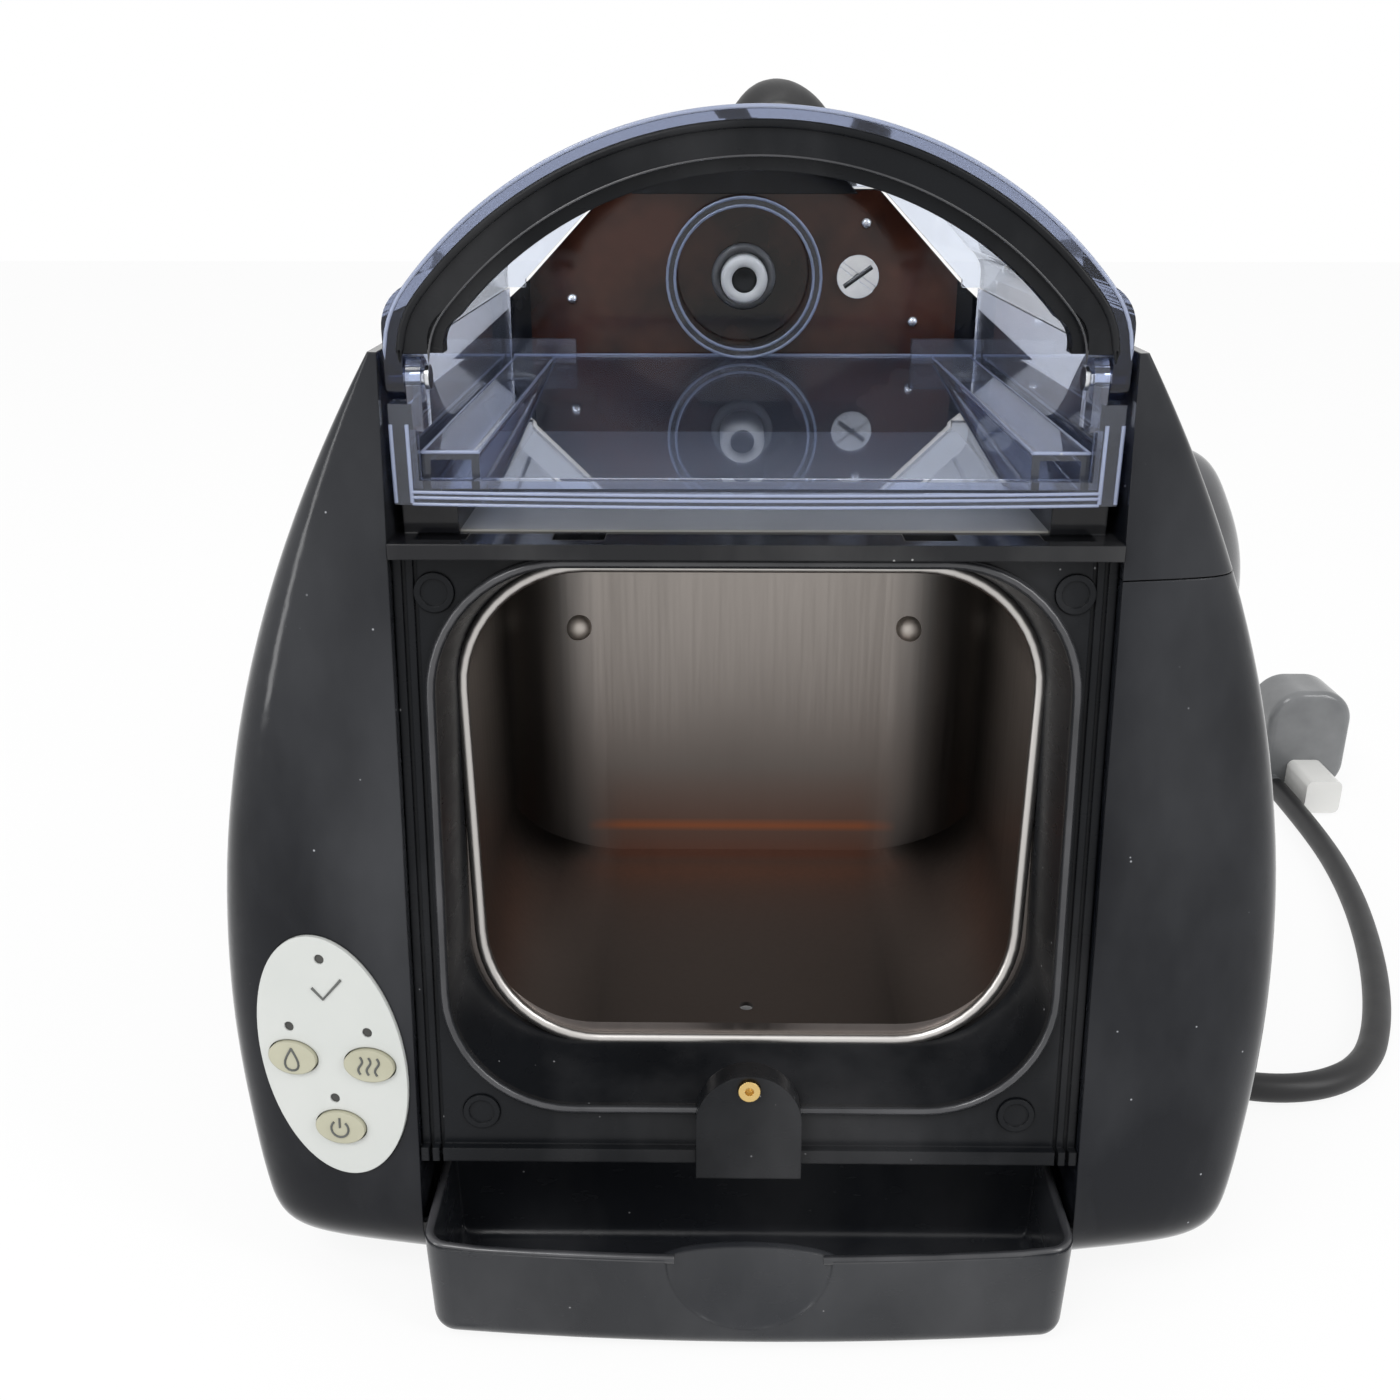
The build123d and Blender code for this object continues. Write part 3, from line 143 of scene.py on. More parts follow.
camera_data = bpy.data.cameras.new("camera")
camera_data.sensor_width = sensor_mm
camera_data.sensor_height = sensor_mm
camera_data.sensor_fit = "HORIZONTAL"
camera_data.lens = sensor_mm * focal_px / frame_px
camera_data.clip_start = 0.02
camera = add_object("camera", camera_data)
camera.location = [value * MM for value in camera_place]
camera.rotation_euler = (math.radians(90 - camera_pitch), 0, math.radians(camera_yaw))
bpy.context.scene.camera = camera


# Materials, with their lengths in metres

grain_depth_m = 0.00002
front_shade_y = (-0.064, -0.03)           # the hood's painted shade near its front rim is gone at the second place
dust_white = (0.95, 0.96, 1.0)
mix_base, mix_over, mix_out = 6, 7, 2    # the colour sockets of a mix node

def new_material(name):
    material = bpy.data.materials.new(name)
    material.use_nodes = True
    tree = material.node_tree
    return material, tree, tree.nodes["Principled BSDF"]


def place(tree, stretch=(1, 1, 1)):
    """Object coordinates, in metres, scaled along each axis."""
    coordinates = tree.nodes.new("ShaderNodeTexCoord")
    mapping = tree.nodes.new("ShaderNodeMapping")
    mapping.inputs["Scale"].default_value = stretch
    tree.links.new(coordinates.outputs["Object"], mapping.inputs["Vector"])
    return mapping.outputs["Vector"]


def noise(tree, scale, detail=3.0, stretch=(1, 1, 1)):
    texture = tree.nodes.new("ShaderNodeTexNoise")
    texture.inputs["Scale"].default_value = scale
    texture.inputs["Detail"].default_value = detail
    tree.links.new(place(tree, stretch), texture.inputs["Vector"])
    return texture.outputs["Fac"]


def ramp(tree, factor, stops):
    node = tree.nodes.new("ShaderNodeValToRGB")
    node.color_ramp.elements[0].position = stops[0][0]
    node.color_ramp.elements[0].color = (*stops[0][1], 1)
    node.color_ramp.elements[1].position = stops[-1][0]
    node.color_ramp.elements[1].color = (*stops[-1][1], 1)
    for position, color in stops[1:-1]:
        node.color_ramp.elements.new(position).color = (*color, 1)
    tree.links.new(factor, node.inputs["Fac"])
    return node.outputs["Color"]


def span(tree, factor, low, high, start=0.0, end=1.0):
    """Value from low to high while factor goes from start to end."""
    node = tree.nodes.new("ShaderNodeMapRange")
    node.inputs["From Min"].default_value = start
    node.inputs["From Max"].default_value = end
    node.inputs["To Min"].default_value = low
    node.inputs["To Max"].default_value = high
    tree.links.new(factor, node.inputs["Value"])
    return node.outputs["Result"]


def math_node(tree, operation, *values):
    node = tree.nodes.new("ShaderNodeMath")
    node.operation = operation
    for socket, value in zip(node.inputs, values):
        tree.links.new(value, socket)
    return node.outputs["Value"]


def times(tree, first, second):
    return math_node(tree, "MULTIPLY", first, second)


def blend_color(tree, factor, base, color):
    """Color over base, as much as factor says."""
    node = tree.nodes.new("ShaderNodeMix")
    node.data_type = "RGBA"
    tree.links.new(factor, node.inputs["Factor"])
    tree.links.new(base, node.inputs[mix_base])
    node.inputs[mix_over].default_value = (*color, 1)
    return node.outputs[mix_out]


def specks(tree, scale, size, cover):
    """Scattered dust: small dots, kept only where a slow noise is high."""
    cells = tree.nodes.new("ShaderNodeTexVoronoi")
    cells.inputs["Scale"].default_value = scale
    tree.links.new(place(tree), cells.inputs["Vector"])
    dots = span(tree, cells.outputs["Distance"], 1.0, 0.0, size * 0.6, size)
    return times(tree, dots, span(tree, noise(tree, scale * 0.4, 1.0), 0.0, 1.0, cover, cover + 0.04))


def bump(tree, shader, height, strength, distance, edge=0.0):
    """Surface relief, over rounded edges where edge is their radius."""
    node = tree.nodes.new("ShaderNodeBump")
    node.inputs["Strength"].default_value = strength
    node.inputs["Distance"].default_value = distance
    tree.links.new(height, node.inputs["Height"])
    if edge:
        rounding = tree.nodes.new("ShaderNodeBevel")
        rounding.samples = 4
        rounding.inputs["Radius"].default_value = edge
        tree.links.new(rounding.outputs["Normal"], node.inputs["Normal"])
    tree.links.new(node.outputs["Normal"], shader.inputs["Normal"])


def plastic(name, base, accent, rough_low, rough_high, grain_depth=grain_depth_m, cloud=18.0, shine=0.5,
            edge=0.0, dust=None, spread=(0.3, 0.75)):
    """Moulded plastic: colour drift, uneven polish, a fine grain, and film and specks of a dust colour."""
    material, tree, shader = new_material(name)
    color = ramp(tree, noise(tree, cloud, 4.0), [(spread[0], base), (spread[1], accent)])
    rough = span(tree, noise(tree, cloud * 6, 6.0, (1, 1, 2.5)), rough_low, rough_high)
    if dust:
        film = span(tree, noise(tree, cloud * 1.5, 5.0, (1, 1, 0.5)), low=0.0, high=0.12, start=0.45, end=0.8)
        color = blend_color(tree, film, color, dust)
        color = blend_color(tree, specks(tree, scale=260.0, size=0.07, cover=0.56), color, dust)
    tree.links.new(color, shader.inputs["Base Color"])
    tree.links.new(rough, shader.inputs["Roughness"])
    shader.inputs["Specular IOR Level"].default_value = shine
    bump(tree, shader, noise(tree, 900.0, 2.0), 0.25, grain_depth, edge)
    return material


def metal(name, base, accent, rough_low, rough_high, stretch=(1, 1, 1), scale=260.0, edge=0.0):
    """Drawn or brushed metal with its grain along one axis."""
    material, tree, shader = new_material(name)
    shader.inputs["Metallic"].default_value = 1.0
    grain = noise(tree, scale, 5.0, stretch)
    color = ramp(tree, noise(tree, 9.0, 3.0), [(0.3, base), (0.7, accent)])
    tree.links.new(color, shader.inputs["Base Color"])
    tree.links.new(span(tree, grain, rough_low, rough_high), shader.inputs["Roughness"])
    bump(tree, shader, grain, 0.2, grain_depth_m, edge)
    return material


def clear_plastic(name, tint, clearness, rough_low, rough_high, front_shade_tint=None):
    """Tinted clear plastic with handling marks and dust. A darker colour near its front rim, given by the
    last argument, is painted shade.
    """
    material, tree, shader = new_material(name)
    shader.inputs["Transmission Weight"].default_value = clearness
    shader.inputs["IOR"].default_value = 1.46
    marks = noise(tree, 55.0, 6.0)
    color = ramp(tree, marks, [(0.35, tint), (0.8, tuple(min(1.0, c * 1.06) for c in tint))])
    # Painted shade: the colour darkens towards the front rim.
    if front_shade_tint:
        axes = tree.nodes.new("ShaderNodeSeparateXYZ")
        tree.links.new(place(tree), axes.inputs["Vector"])
        rim = span(tree, axes.outputs["Y"], 1.0, 0.0, *front_shade_y)
        color = blend_color(tree, rim, color, front_shade_tint)
    color = blend_color(tree, specks(tree, scale=190.0, size=0.06, cover=0.5), color, dust_white)
    tree.links.new(color, shader.inputs["Base Color"])
    tree.links.new(span(tree, marks, rough_low, rough_high), shader.inputs["Roughness"])
    return material


def compartment_steel():
    """Sheet steel brushed upright. Its dark base is a painted reflection of dim surroundings, painted shade
    darkens it towards its floor and in its rear corners, and an orange band and line run low at the back.
    """
    shade_floor_to_top_z = (0.05, 0.16)
    shade_corner_x, shade_corner_y = (0.037, 0.047), (-0.05, -0.01)
    band_x, band_z = (0.032, 0.042), (0.062, 0.080)
    back_wall_y = (0.004, 0.008)
    line_low_z, line_high_z = (0.0605, 0.062), (0.0625, 0.0645)

    material, tree, shader = new_material("compartment_steel")
    shader.inputs["Metallic"].default_value = 1.0
    brushing = noise(tree, 900.0, 4.0, (1, 1, 0.03))
    axes = tree.nodes.new("ShaderNodeSeparateXYZ")
    tree.links.new(place(tree), axes.inputs["Vector"])
    sideways = math_node(tree, "ABSOLUTE", axes.outputs["X"])
    height = span(tree, axes.outputs["Z"], 0.0, 1.0, *shade_floor_to_top_z)
    # Painted shade: darker from the top down to the floor.
    color = ramp(tree, height, [(0.0, (0.21, 0.185, 0.175)), (0.22, (0.25, 0.222, 0.205)),
                                (1.0, (0.36, 0.33, 0.305))])
    # Painted shade in the rear corners, darker towards the sides and the back.
    corner = times(tree, span(tree, sideways, 0.0, 0.85, *shade_corner_x),
                   span(tree, axes.outputs["Y"], 0.0, 1.0, *shade_corner_y))
    color = blend_color(tree, corner, color, (0.075, 0.072, 0.07))
    # An orange band and a thin orange line low on the back wall.
    width = span(tree, sideways, 1.0, 0.0, *band_x)
    back = span(tree, axes.outputs["Y"], 0.0, 1.0, *back_wall_y)
    glow = times(tree, span(tree, axes.outputs["Z"], 0.45, 0.0, *band_z), times(tree, width, back))
    color = blend_color(tree, glow, color, (0.34, 0.15, 0.09))
    line = times(tree, span(tree, axes.outputs["Z"], 0.0, 1.0, *line_low_z),
                 span(tree, axes.outputs["Z"], 0.8, 0.0, *line_high_z))
    color = blend_color(tree, times(tree, line, times(tree, width, back)), color, (0.62, 0.22, 0.10))
    tree.links.new(color, shader.inputs["Base Color"])
    tree.links.new(span(tree, brushing, 0.26, 0.48), shader.inputs["Roughness"])
    bump(tree, shader, brushing, 0.25, grain_depth_m)
    return material


materials = {
    "black_gloss": plastic("gloss_black", (0.004, 0.0045, 0.0065), (0.006, 0.007, 0.010), 0.06, 0.18,
                           cloud=14.0, shine=0.22, edge=0.0004, dust=(0.30, 0.31, 0.33)),
    "black_satin": plastic("satin_black", (0.005, 0.0055, 0.0065), (0.009, 0.010, 0.012), 0.2, 0.38,
                           cloud=20.0, grain_depth=0.00005, shine=0.14, edge=0.0005, dust=(0.25, 0.25, 0.26)),
    "clear_blue": clear_plastic("clear_blue", (0.80, 0.85, 0.95), 0.95, 0.01, 0.04, (0.075, 0.095, 0.18)),
    "panel_grey": plastic("panel_grey", (0.52, 0.54, 0.52), (0.58, 0.59, 0.57), 0.3, 0.42, cloud=30.0,
                          edge=0.0003),
    "button_olive": plastic("button_olive", (0.40, 0.39, 0.29), (0.47, 0.46, 0.35), 0.32, 0.46, cloud=60.0,
                            edge=0.0004),
    "led_tint": plastic("led_lens", (0.03, 0.03, 0.028), (0.06, 0.06, 0.055), 0.1, 0.2, cloud=80.0),
    "panel_brown": plastic("panel_brown", (0.004, 0.002, 0.002), (0.085, 0.028, 0.016), 0.04, 0.1,
                           cloud=20.0, shine=0.35, spread=(0.44, 0.66)),
    "steel": compartment_steel(),
    "zinc": metal("zinc", (0.62, 0.63, 0.65), (0.74, 0.75, 0.77), 0.16, 0.32, (1, 4, 1), edge=0.0003),
    "brass": metal("brass", (0.62, 0.42, 0.15), (0.75, 0.55, 0.24), 0.2, 0.35, (1, 1, 4), edge=0.0002),
    "aluminium": metal("cast_aluminium", (0.6, 0.61, 0.62), (0.7, 0.71, 0.72), 0.35, 0.5),
    "copper": metal("copper", (0.66, 0.3, 0.17), (0.75, 0.4, 0.26), 0.25, 0.4, (3, 1, 1)),
    "rubber_black": plastic("rubber_black", (0.008, 0.008, 0.009), (0.013, 0.013, 0.014), 0.34, 0.5,
                            cloud=25.0, grain_depth=0.00006, shine=0.4),
    "rubber_grey": plastic("silicone_grey", (0.3, 0.3, 0.3), (0.38, 0.38, 0.38), 0.4, 0.55, cloud=40.0),
    "white_plastic": plastic("white_plastic", (0.72, 0.72, 0.70), (0.78, 0.78, 0.76), 0.3, 0.42, cloud=40.0),
    "board_green": plastic("board_green", (0.02, 0.12, 0.05), (0.03, 0.17, 0.07), 0.35, 0.5, cloud=60.0),
}
deck_black = plastic("deck_black", (0.006, 0.0065, 0.008), (0.010, 0.010, 0.012), 0.05, 0.14, cloud=22.0,
                     shine=0.3, edge=0.0005, dust=(0.3, 0.3, 0.3))
tray_clear = clear_plastic("tray_clear", (0.74, 0.80, 0.97), 0.955, 0.0, 0.03)
polished_lip = metal("polished_lip", (0.50, 0.48, 0.46), (0.60, 0.58, 0.56), 0.28, 0.4, scale=500.0)
# Milky pale blue beads along the clear parts' edges: painted highlight for the light those edges catch.
clear_edge_highlight = clear_plastic("clear_edge_highlight", (0.56, 0.63, 0.84), 0.55, 0.08, 0.16)
ink = plastic("print_ink", (0.07, 0.075, 0.07), (0.10, 0.105, 0.10), 0.4, 0.5, cloud=200.0)
plug_grey = plastic("plug_grey", (0.10, 0.105, 0.11), (0.22, 0.225, 0.23), 0.12, 0.25, cloud=40.0,
                    edge=0.0006)
stud_steel = metal("stud_steel", (0.62, 0.57, 0.52), (0.72, 0.67, 0.62), 0.42, 0.55, scale=700.0)
# Lightened as painted light, to make up for the shade under the clear tray floor.
sheet_grey_painted_light = plastic("sheet_grey_painted_light", (0.40, 0.39, 0.36), (0.50, 0.49, 0.45), 0.25, 0.4, cloud=24.0)
# A lighter, glossier black: painted highlight on the beads of the bezel ring, the seal step and the drip tray
# rim, and painted shade in the screw slot.
highlight_shade_black = plastic("highlight_shade_black", (0.02, 0.021, 0.024), (0.06, 0.06, 0.065), 0.18, 0.3, cloud=60.0,
                     shine=0.6)
tray_black = plastic("tray_black", (0.010, 0.011, 0.014), (0.020, 0.022, 0.026), 0.16, 0.34, cloud=18.0,
                     shine=0.35, edge=0.0008, dust=(0.3, 0.3, 0.31))
# The boiler cap's own black, lightened to dark grey as painted reflection.
cap_grey_painted_reflection = plastic("cap_grey_painted_reflection", (0.03, 0.031, 0.034), (0.08, 0.082, 0.088), 0.1, 0.2, cloud=50.0, shine=0.6,
                   edge=0.0006)
collar_grey = plastic("collar_grey", (0.10, 0.10, 0.10), (0.16, 0.16, 0.16), 0.2, 0.3, cloud=80.0)
# Painted shade: a matte near-black for the inside of the nozzle's bore.
bore_shade_black = plastic("bore_shade_black", (0.004, 0.004, 0.004), (0.008, 0.008, 0.008), 0.5, 0.6, cloud=90.0)

slots = {entry["node"]: entry["material_slot"] for entry in frame["record"]["subparts"]}
finer = {"top_deck": deck_black, "hood_floor": tray_clear, "plug_body": plug_grey, "drip_tray": tray_black,
         "boiler_cap": cap_grey_painted_reflection}
for name, node in nodes.items():
    node.data.materials.clear()
    node.data.materials.append(finer.get(name, materials[slots[name]]))

cord.data.materials.append(materials["rubber_black"])
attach(cord, "casing")
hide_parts("power_cord", "plug_lead", "cord_coil")


# Beads, edge lines that carry painted highlights, and printed signs, in millimetres

deck_z = 165.0
rim_y = -73.0
hood_half = 67.3
hood_back_y = 67.0
clear_t = 3.3
dome_r = 81.5
dome_mid_z = 158.5
dome_corner = 4.5
bezel_origin = Vector((0.0, -82.94, 104.25))
bezel_lean = math.atan(0.127)
nozzle_z = 201.0
nozzle_panel_y = 67.8
panel_screw_x = 31.0
stud_x = 42.6
stud_y = 10.0
stud_z = 119.0


def dressed(name, data, material, body):
    """Object of one material that rides on a body."""
    data.materials.append(material)
    piece = add_object(name, data)
    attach(piece, body)


def tube(name, places, radius, material, body="casing", closed=False):
    """A bead of round section along the places."""
    dressed(name, round_curve(name, "POLY", places, radius, 3, closed), material, body)


def outward_mesh(name, form):
    """Mesh of a closed form, with its faces turned outward."""
    mesh = bpy.data.meshes.new(name)
    bmesh.ops.recalc_face_normals(form, faces=form.faces)
    form.to_mesh(mesh)
    form.free()
    return mesh


def slab(name, outline, thickness, material, body="casing"):
    """A flat piece: an outline and the step to its other face."""
    form = bmesh.new()
    near = [form.verts.new(Vector(spot) * MM) for spot in outline]
    far = [form.verts.new((Vector(spot) + Vector(thickness)) * MM) for spot in outline]
    form.faces.new(near)
    form.faces.new(far[::-1])
    for k in range(len(outline)):
        after = (k + 1) % len(outline)
        form.faces.new((near[k], far[k], far[after], near[after]))
    dressed(name, outward_mesh(name, form), material, body)


def on_bezel(u, v, depth):
    """Place in the leaning bezel's plane: u to the right, v up the slope, depth outward."""
    up = Vector((0, math.sin(bezel_lean), math.cos(bezel_lean)))
    out = Vector((0, -math.cos(bezel_lean), math.sin(bezel_lean)))
    return bezel_origin + Vector((u, 0, 0)) + up * v + out * depth


def rounded_outline(width, height, radius, steps=12):
    """Corners of a round-cornered rectangle about (0, 0), anticlockwise."""
    places = []
    for turn, (x, y) in enumerate(((1, 1), (-1, 1), (-1, -1), (1, -1))):
        for step in range(steps + 1):
            angle = math.radians(90 * (turn + step / steps))
            places.append((x * (width / 2 - radius) + radius * math.cos(angle),
                           y * (height / 2 - radius) + radius * math.sin(angle)))
    return places


lip_w = 118.4
lip_h = 104.6
lip_r = 25.6
lip_rise = 1.5
lip_depth = 17.0
lip_bend_v = 30.0        # below this the lip narrows and sinks, by these shares of each millimetre
lip_taper = 0.00055
lip_sink = 0.012
lip_places = []
for u, v in rounded_outline(lip_w, lip_h, lip_r):
    below = max(0.0, lip_bend_v - v)
    lip_places.append(on_bezel(u * (1 - lip_taper * below), v + lip_rise, -lip_depth - lip_sink * below))
tube("compartment_lip", lip_places, 1.4, polished_lip, closed=True)
# The bezel ring bead carries a painted highlight.
bezel_ring = [on_bezel(u, v, 1.0) for u, v in rounded_outline(124.0, 114.0, 26.0)]
tube("bezel_ring_bead", bezel_ring, 0.75, highlight_shade_black, closed=True)


def arch_line(inset, y, bottom, steps=40):
    """Front edge of the dome, from its left foot over the top to its right foot."""
    half = hood_half - inset
    radius = dome_r - inset
    knee_x = half - dome_corner + inset / 7
    knee_z = dome_mid_z + math.sqrt(radius ** 2 - knee_x ** 2)
    slope = math.asin(knee_x / radius)
    corner_z = knee_z - (half - knee_x) * math.tan(slope)
    spring_z = corner_z - (half - knee_x) / math.cos(slope)
    shoulder = []
    for step in range(7):
        t = step / 6
        shoulder.append((half * (1 - t) ** 2 + 2 * half * t * (1 - t) + knee_x * t * t,
                         spring_z * (1 - t) ** 2 + 2 * corner_z * t * (1 - t) + knee_z * t * t))
    right = [(half, bottom)] + shoulder
    for step in range(1, steps):
        angle = slope * (1 - step / steps)
        right.append((radius * math.sin(angle), dome_mid_z + radius * math.cos(angle)))
    left = [(-x, z) for x, z in right]
    return [(x, y, z) for x, z in left + [(0.0, dome_mid_z + radius)] + right[::-1]]


edge_r = 0.4
dome_foot_z = 199.6
seal_foot_z = 199.4
tube("dome_edge", arch_line(0.25, rim_y + 0.2, dome_foot_z), edge_r, clear_edge_highlight, "hood")
tube("seal_lip", arch_line(clear_t - 0.35, rim_y + 0.25, seal_foot_z), 0.75, materials["black_satin"],
     "hood")
# The seal step line is a painted highlight.
tube("seal_step", arch_line(clear_t + 4.75, rim_y + 0.4, seal_foot_z), 0.22, highlight_shade_black,
     "hood")

crown_y = 63.7
crown_half = [(8.0, 233.3), (17.0, 231.5), (25.0, 228.0), (30.0, 222.2)]
crown = [(-x, z) for x, z in crown_half[::-1]] + crown_half
slab("hood_crown", [(x, crown_y, z) for x, z in crown], (0, 0.7, 0), materials["black_gloss"],
     "hood")

post_low_z = 171.4
post_high_z = 186.0
rail_inner_x = hood_half - 15.6
rail_outer_x = hood_half - 5.1
rail_front_y = rim_y + 3.1
rail_back_y = 60.5
rail_z = 180.3
rail_edge_r = 0.35

for side, word in ((-1, "left"), (1, "right")):
    for count, x in enumerate((hood_half - 0.2, hood_half - clear_t + 0.1)):
        tube(f"tray_post_{word}_{count}",
             [(side * x, rim_y + 0.1, post_low_z), (side * x, rim_y + 0.1, post_high_z)], edge_r,
             clear_edge_highlight)
    for count, x in enumerate((rail_inner_x, rail_outer_x)):
        tube(f"rail_edge_{word}_{count}", [(side * x, rail_front_y, rail_z), (side * x, rail_back_y, rail_z)],
             rail_edge_r, clear_edge_highlight)
    tube(f"rail_end_{word}",
         [(side * rail_inner_x, rail_front_y, rail_z), (side * rail_outer_x, rail_front_y, rail_z)],
         rail_edge_r, clear_edge_highlight)

front_half = 64.0
front_bow = 2.45
front_steps = 12         # on each side of the middle
for count, height in enumerate((171.15, 172.4, 173.4)):
    bow = [(x * front_half / front_steps, rim_y - front_bow * (1 - (x / front_steps) ** 2) + 0.05, height)
           for x in range(-front_steps, front_steps + 1)]
    tube(f"tray_front_{count}", bow, 0.32, clear_edge_highlight)
tray_back_half = 63.5
tube("tray_back", [(side * tray_back_half, hood_back_y - 0.3, 180.0) for side in (-1, 1)], 0.45, clear_edge_highlight)


def circle_line(radius, y, steps=48):
    """Circle about the nozzle."""
    return [(radius * math.cos(math.tau * k / steps), y, nozzle_z + radius * math.sin(math.tau * k / steps))
            for k in range(steps)]


ring_front_y = nozzle_panel_y - 9.7
for name, radius in (("ring_edge_outer", 20.5), ("ring_edge_inner", 18.5)):
    tube(name, circle_line(radius, ring_front_y), edge_r, clear_edge_highlight, closed=True)


def lathe(name, profile, middle, material, hollow=False, steps=40):
    """Turned piece about an axis along Y. The profile is (radius, distance along it), closed up if hollow."""
    x, y, z = middle
    form = bmesh.new()
    rings = []
    for radius, along in profile:
        rings.append([form.verts.new(((x + radius * math.cos(math.tau * k / steps)) * MM, (y + along) * MM,
                                      (z + radius * math.sin(math.tau * k / steps)) * MM))
                      for k in range(steps)])
    pairs = list(zip(rings, rings[1:]))
    if hollow:
        pairs.append((rings[-1], rings[0]))
    else:
        form.faces.new(rings[0])
        form.faces.new(rings[-1][::-1])
    for near, far in pairs:
        for k in range(steps):
            form.faces.new((near[k], near[(k + 1) % steps], far[(k + 1) % steps], far[k]))
    mesh = outward_mesh(name, form)
    mesh.polygons.foreach_set("use_smooth", [True] * len(mesh.polygons))
    dressed(name, mesh, material, "casing")


nozzle = (0.0, nozzle_panel_y, nozzle_z)
lathe("nozzle_tip", [(3.6, -13.6), (5.2, -13.9), (6.0, -13.2), (6.2, -12.0), (6.2, -3.0), (3.4, -3.0),
                     (3.3, -13.2)], nozzle, materials["white_plastic"], hollow=True)
lathe("nozzle_collar", [(6.3, -3.2), (8.2, -2.9), (8.7, -2.3), (8.7, -0.1), (6.3, -0.1)], nozzle,
      collar_grey, hollow=True)
# Near-black funnel just inside the nozzle tip: painted shade in the bore.
lathe("nozzle_mouth", [(1.0, -12.4), (2.4, -12.9), (3.35, -13.0), (3.35, -12.85), (2.4, -12.75),
                       (1.0, -12.2)], nozzle, bore_shade_black)

slot_half_x = 3.7
slot_half_z = 2.6
slot_y = nozzle_panel_y - 2.3
# A dark bead along the screw's slot: painted shade in the recess.
tube("screw_slot", [(panel_screw_x - slot_half_x, slot_y, nozzle_z - slot_half_z),
                    (panel_screw_x + slot_half_x, slot_y, nozzle_z + slot_half_z)], 0.7, highlight_shade_black)
for side, word in ((-1, "left"), (1, "right")):
    lathe(f"wall_stud_{word}", [(0.5, -1.9), (1.5, -1.75), (2.6, -1.2), (3.3, -0.4), (3.6, 0.6)],
          (side * stud_x, stud_y, stud_z), stud_steel)

# A guessed grey sheet on the deck under the clear tray floor, its colour lightened as painted light.
sheet = [(-60.0, -69.5), (60.0, -69.5), (53.0, -38.0), (53.0, 20.0), (-53.0, 20.0), (-53.0, -38.0)]
sheet_gap = 0.02
sheet_t = 0.4
slab("deck_sheet", [(x, y, deck_z + sheet_gap) for x, y in sheet], (0, 0, sheet_t), sheet_grey_painted_light)

tray_rim_z = 25.2
tray_half = 66.75
tray_front_y = -106.7
tray_back_y = -74.5
tray_corner = 6.0
tray_bow = 3.0
tray_steps = 8           # round a corner, and along each half of the front
scoop_side_x = 15.0
rim_bead_r = 0.95


def tray_rim(inset):
    """Right half of the line round the drip tray's rim, which ends at the finger scoop."""
    half = tray_half - inset
    front = tray_front_y + inset
    corner = tray_corner - inset
    line = [(half, tray_back_y)]
    for step in range(tray_steps + 1):
        angle = math.radians(90 * step / tray_steps)
        line.append((half - corner + corner * math.cos(angle), front + corner - corner * math.sin(angle)))
    for step in range(1, tray_steps + 1):
        x = (half - corner) + (scoop_side_x - (half - corner)) * step / tray_steps
        line.append((x, front - tray_bow * (1 - (x / half) ** 2)))
    return line


# The drip tray's rim beads carry a painted highlight line.
for side, word in ((-1, "left"), (1, "right")):
    tube(f"tray_rim_{word}", [(side * x, y, tray_rim_z - 0.35) for x, y in tray_rim(0.9)], rim_bead_r,
         highlight_shade_black, "drip_tray_body")


# Signs on the control panel, laid on the surfaces that carry them

sign_origin = Vector((-86.1, -88.48, 58.8))
sign_out = Vector((-0.1622, -0.9789, 0.1240)).normalized()
sign_across = Vector((-0.9789, 0.1622, 0.0)).normalized()
sign_up = sign_across.cross(sign_out).normalized()
sign_reach = 12          # a sign's points are cast from this far in front of the panel
sign_lift = 0.03


def surface_of(name):
    mesh = nodes[name].data
    return BVHTree.FromPolygons([vertex.co.copy() for vertex in mesh.vertices],
                                [tuple(face.vertices) for face in mesh.polygons])


def laid(surface, u, v):
    """Place on a surface under the panel's plane place (u, v), lifted a little."""
    start = sign_origin + sign_across * u + sign_up * v + sign_out * sign_reach
    hit = surface.ray_cast(start * MM, -sign_out)[0]
    return hit / MM + sign_out * sign_lift


def sign(name, node, body, strokes, thick=0.24):
    """Printed strokes, each a list of places (u, v), on a node's surface."""
    surface = surface_of(node)
    for count, stroke in enumerate(strokes):
        tube(f"{name}_{count}", [laid(surface, u, v) for u, v in stroke], thick, ink, body)


def wave(u, v, height, sway, steps=10):
    return [(u + sway * math.sin(math.tau * k / steps), v + height * k / steps) for k in range(steps + 1)]


def drop(u, v, size, steps=18):
    """Outline of a falling drop."""
    places = []
    for k in range(steps + 1):
        angle = math.tau * k / steps
        places.append((u + size * math.sin(angle) * math.sin(angle / 2) ** 1.5,
                       v + size * math.cos(angle) * 1.15))
    return places


sign("ready_mark", "control_panel", "casing", [[(3.4, 15.2), (1.0, 12.9), (-3.0, 17.6)]], 0.3)
sign("clean_mark", "clean_button", "clean_button_body", [drop(8.3, -1.1, 2.2)])
sign("steam_mark", "steam_button", "steam_button_body",
     [wave(-8.6 + shift, -2.7, 3.9, 0.45) for shift in (-1.8, 0.0, 1.8)])
power_u, power_v, power_r = -1.7, -15.9, 1.9
power_arc = [(power_u + power_r * math.sin(math.radians(a)), power_v + power_r * math.cos(math.radians(a)))
             for a in range(40, 321, 20)]
sign("power_mark", "power_button", "power_button_body", [power_arc, [(power_u, -15.6), (power_u, -13.4)]])


# Stage: floor, world and lamps. The camera, reflections and clear pieces see a white background.

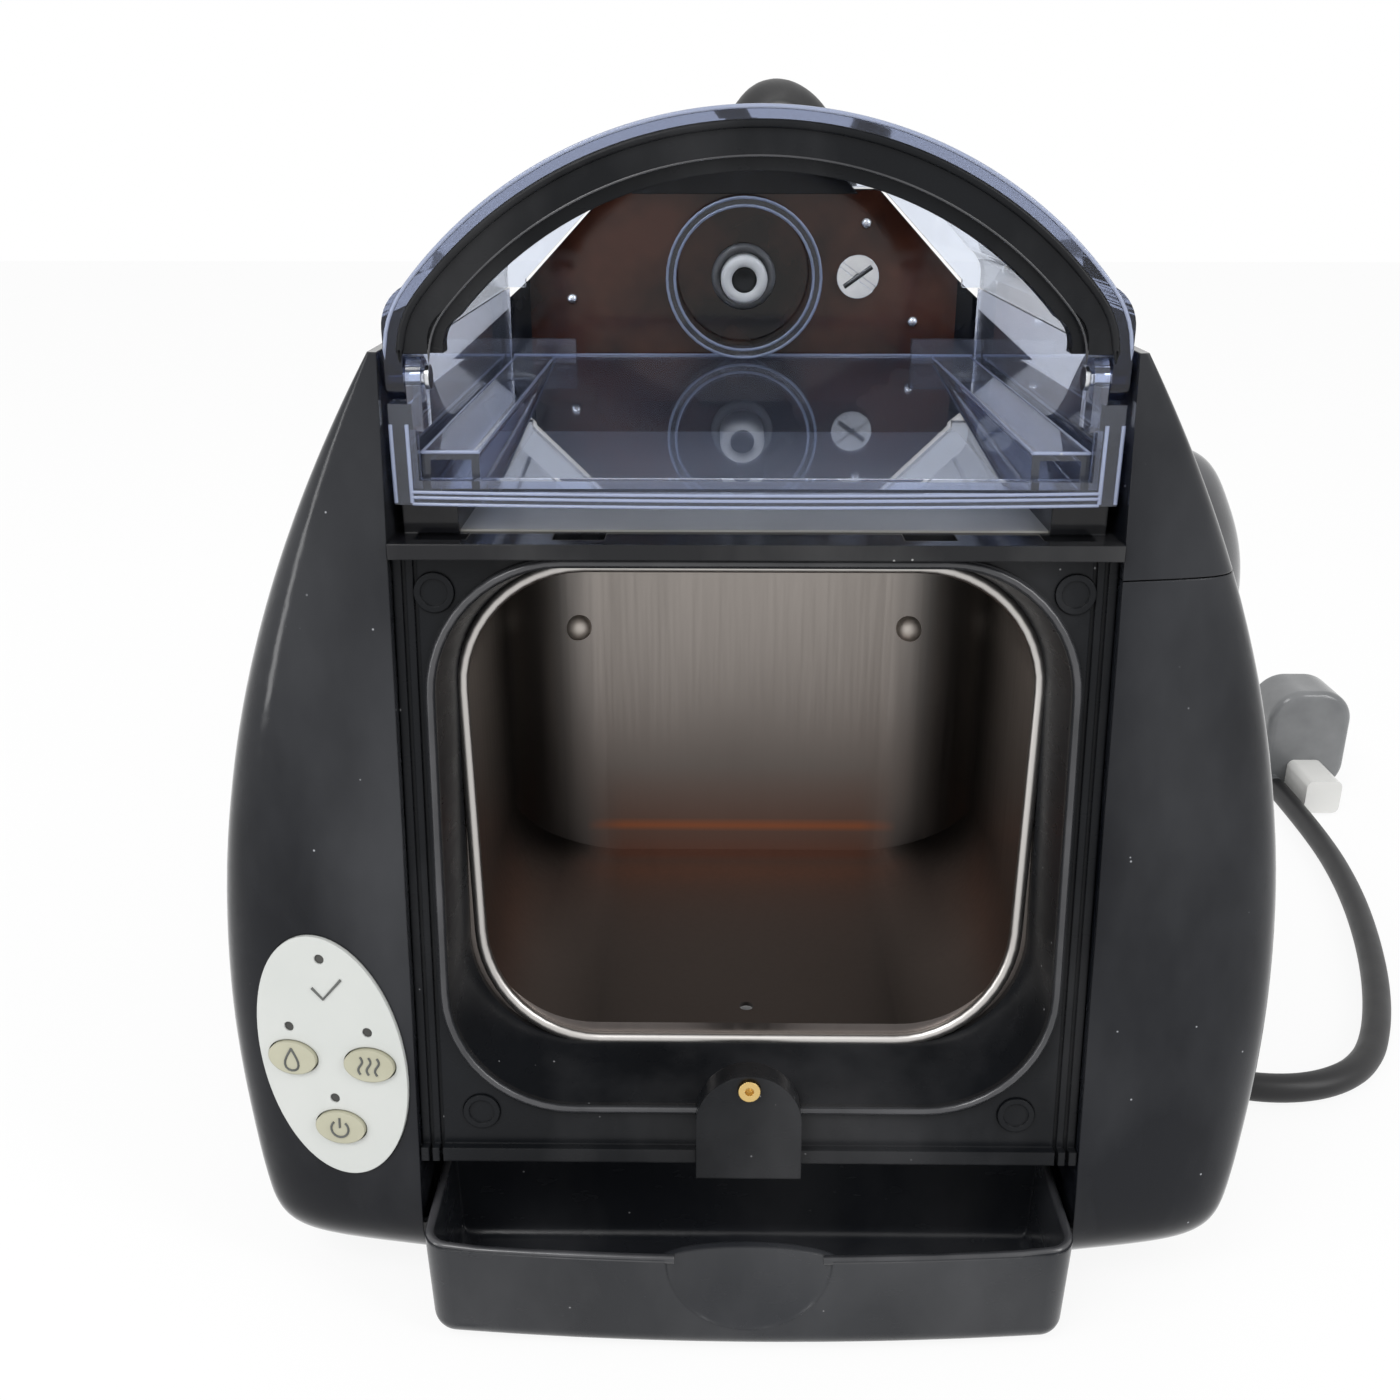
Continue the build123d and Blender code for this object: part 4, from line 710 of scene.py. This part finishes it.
def seen_ray(tree):
    """1 for rays from the camera, a reflection or a clear body."""
    path = tree.nodes.new("ShaderNodeLightPath")
    seen = path.outputs["Is Camera Ray"]
    for kind in ("Is Glossy Ray", "Is Transmission Ray"):
        seen = math_node(tree, "MAXIMUM", seen, path.outputs[kind])
    return seen


floor_mesh = bpy.data.meshes.new("floor")
shape = bmesh.new()
bmesh.ops.create_grid(shape, x_segments=8, y_segments=8, size=3.0)
shape.to_mesh(floor_mesh)
shape.free()
floor = add_object("floor", floor_mesh)
floor_material, tree, shader = new_material("pale_floor")
shader.inputs["Base Color"].default_value = (0.9, 0.9, 0.9, 1)
shader.inputs["Roughness"].default_value = 0.7
glow = tree.nodes.new("ShaderNodeEmission")
glow.inputs["Strength"].default_value = 1.0
joined = tree.nodes.new("ShaderNodeMixShader")
tree.links.new(span(tree, seen_ray(tree), 0.0, 0.9), joined.inputs["Fac"])
tree.links.new(shader.outputs["BSDF"], joined.inputs[1])
tree.links.new(glow.outputs["Emission"], joined.inputs[2])
tree.links.new(joined.outputs["Shader"], tree.nodes["Material Output"].inputs["Surface"])
floor_mesh.materials.append(floor_material)

world = bpy.data.worlds.new("studio")
bpy.context.scene.world = world
world.use_nodes = True
sky = world.node_tree.nodes["Background"]
sky.inputs["Color"].default_value = (1, 1, 1, 1)
world.node_tree.links.new(span(world.node_tree, seen_ray(world.node_tree), 0.75, 1.0), sky.inputs["Strength"])


def lamp(name, spot, aim, size, energy):
    """Rectangular lamp at spot that shines at aim, in metres and watts."""
    data = bpy.data.lights.new(name, "AREA")
    data.shape = "RECTANGLE"
    data.size, data.size_y = size
    data.energy = energy
    holder = add_object(name, data)
    holder.location = spot
    holder.rotation_euler = (Vector(aim) - Vector(spot)).to_track_quat("-Z", "Y").to_euler()


machine_middle = (0, 0, 0.1)
lamp("key", (-0.6, -0.8, 1.3), machine_middle, (0.7, 0.5), 9.0)
lamp("fill", (0.9, -0.6, 0.8), machine_middle, (0.3, 0.8), 5.0)
lamp("left_strip", (-1.0, -0.5, 0.35), machine_middle, (0.12, 0.7), 2.0)

bpy.context.scene.view_settings.view_transform = "Standard"
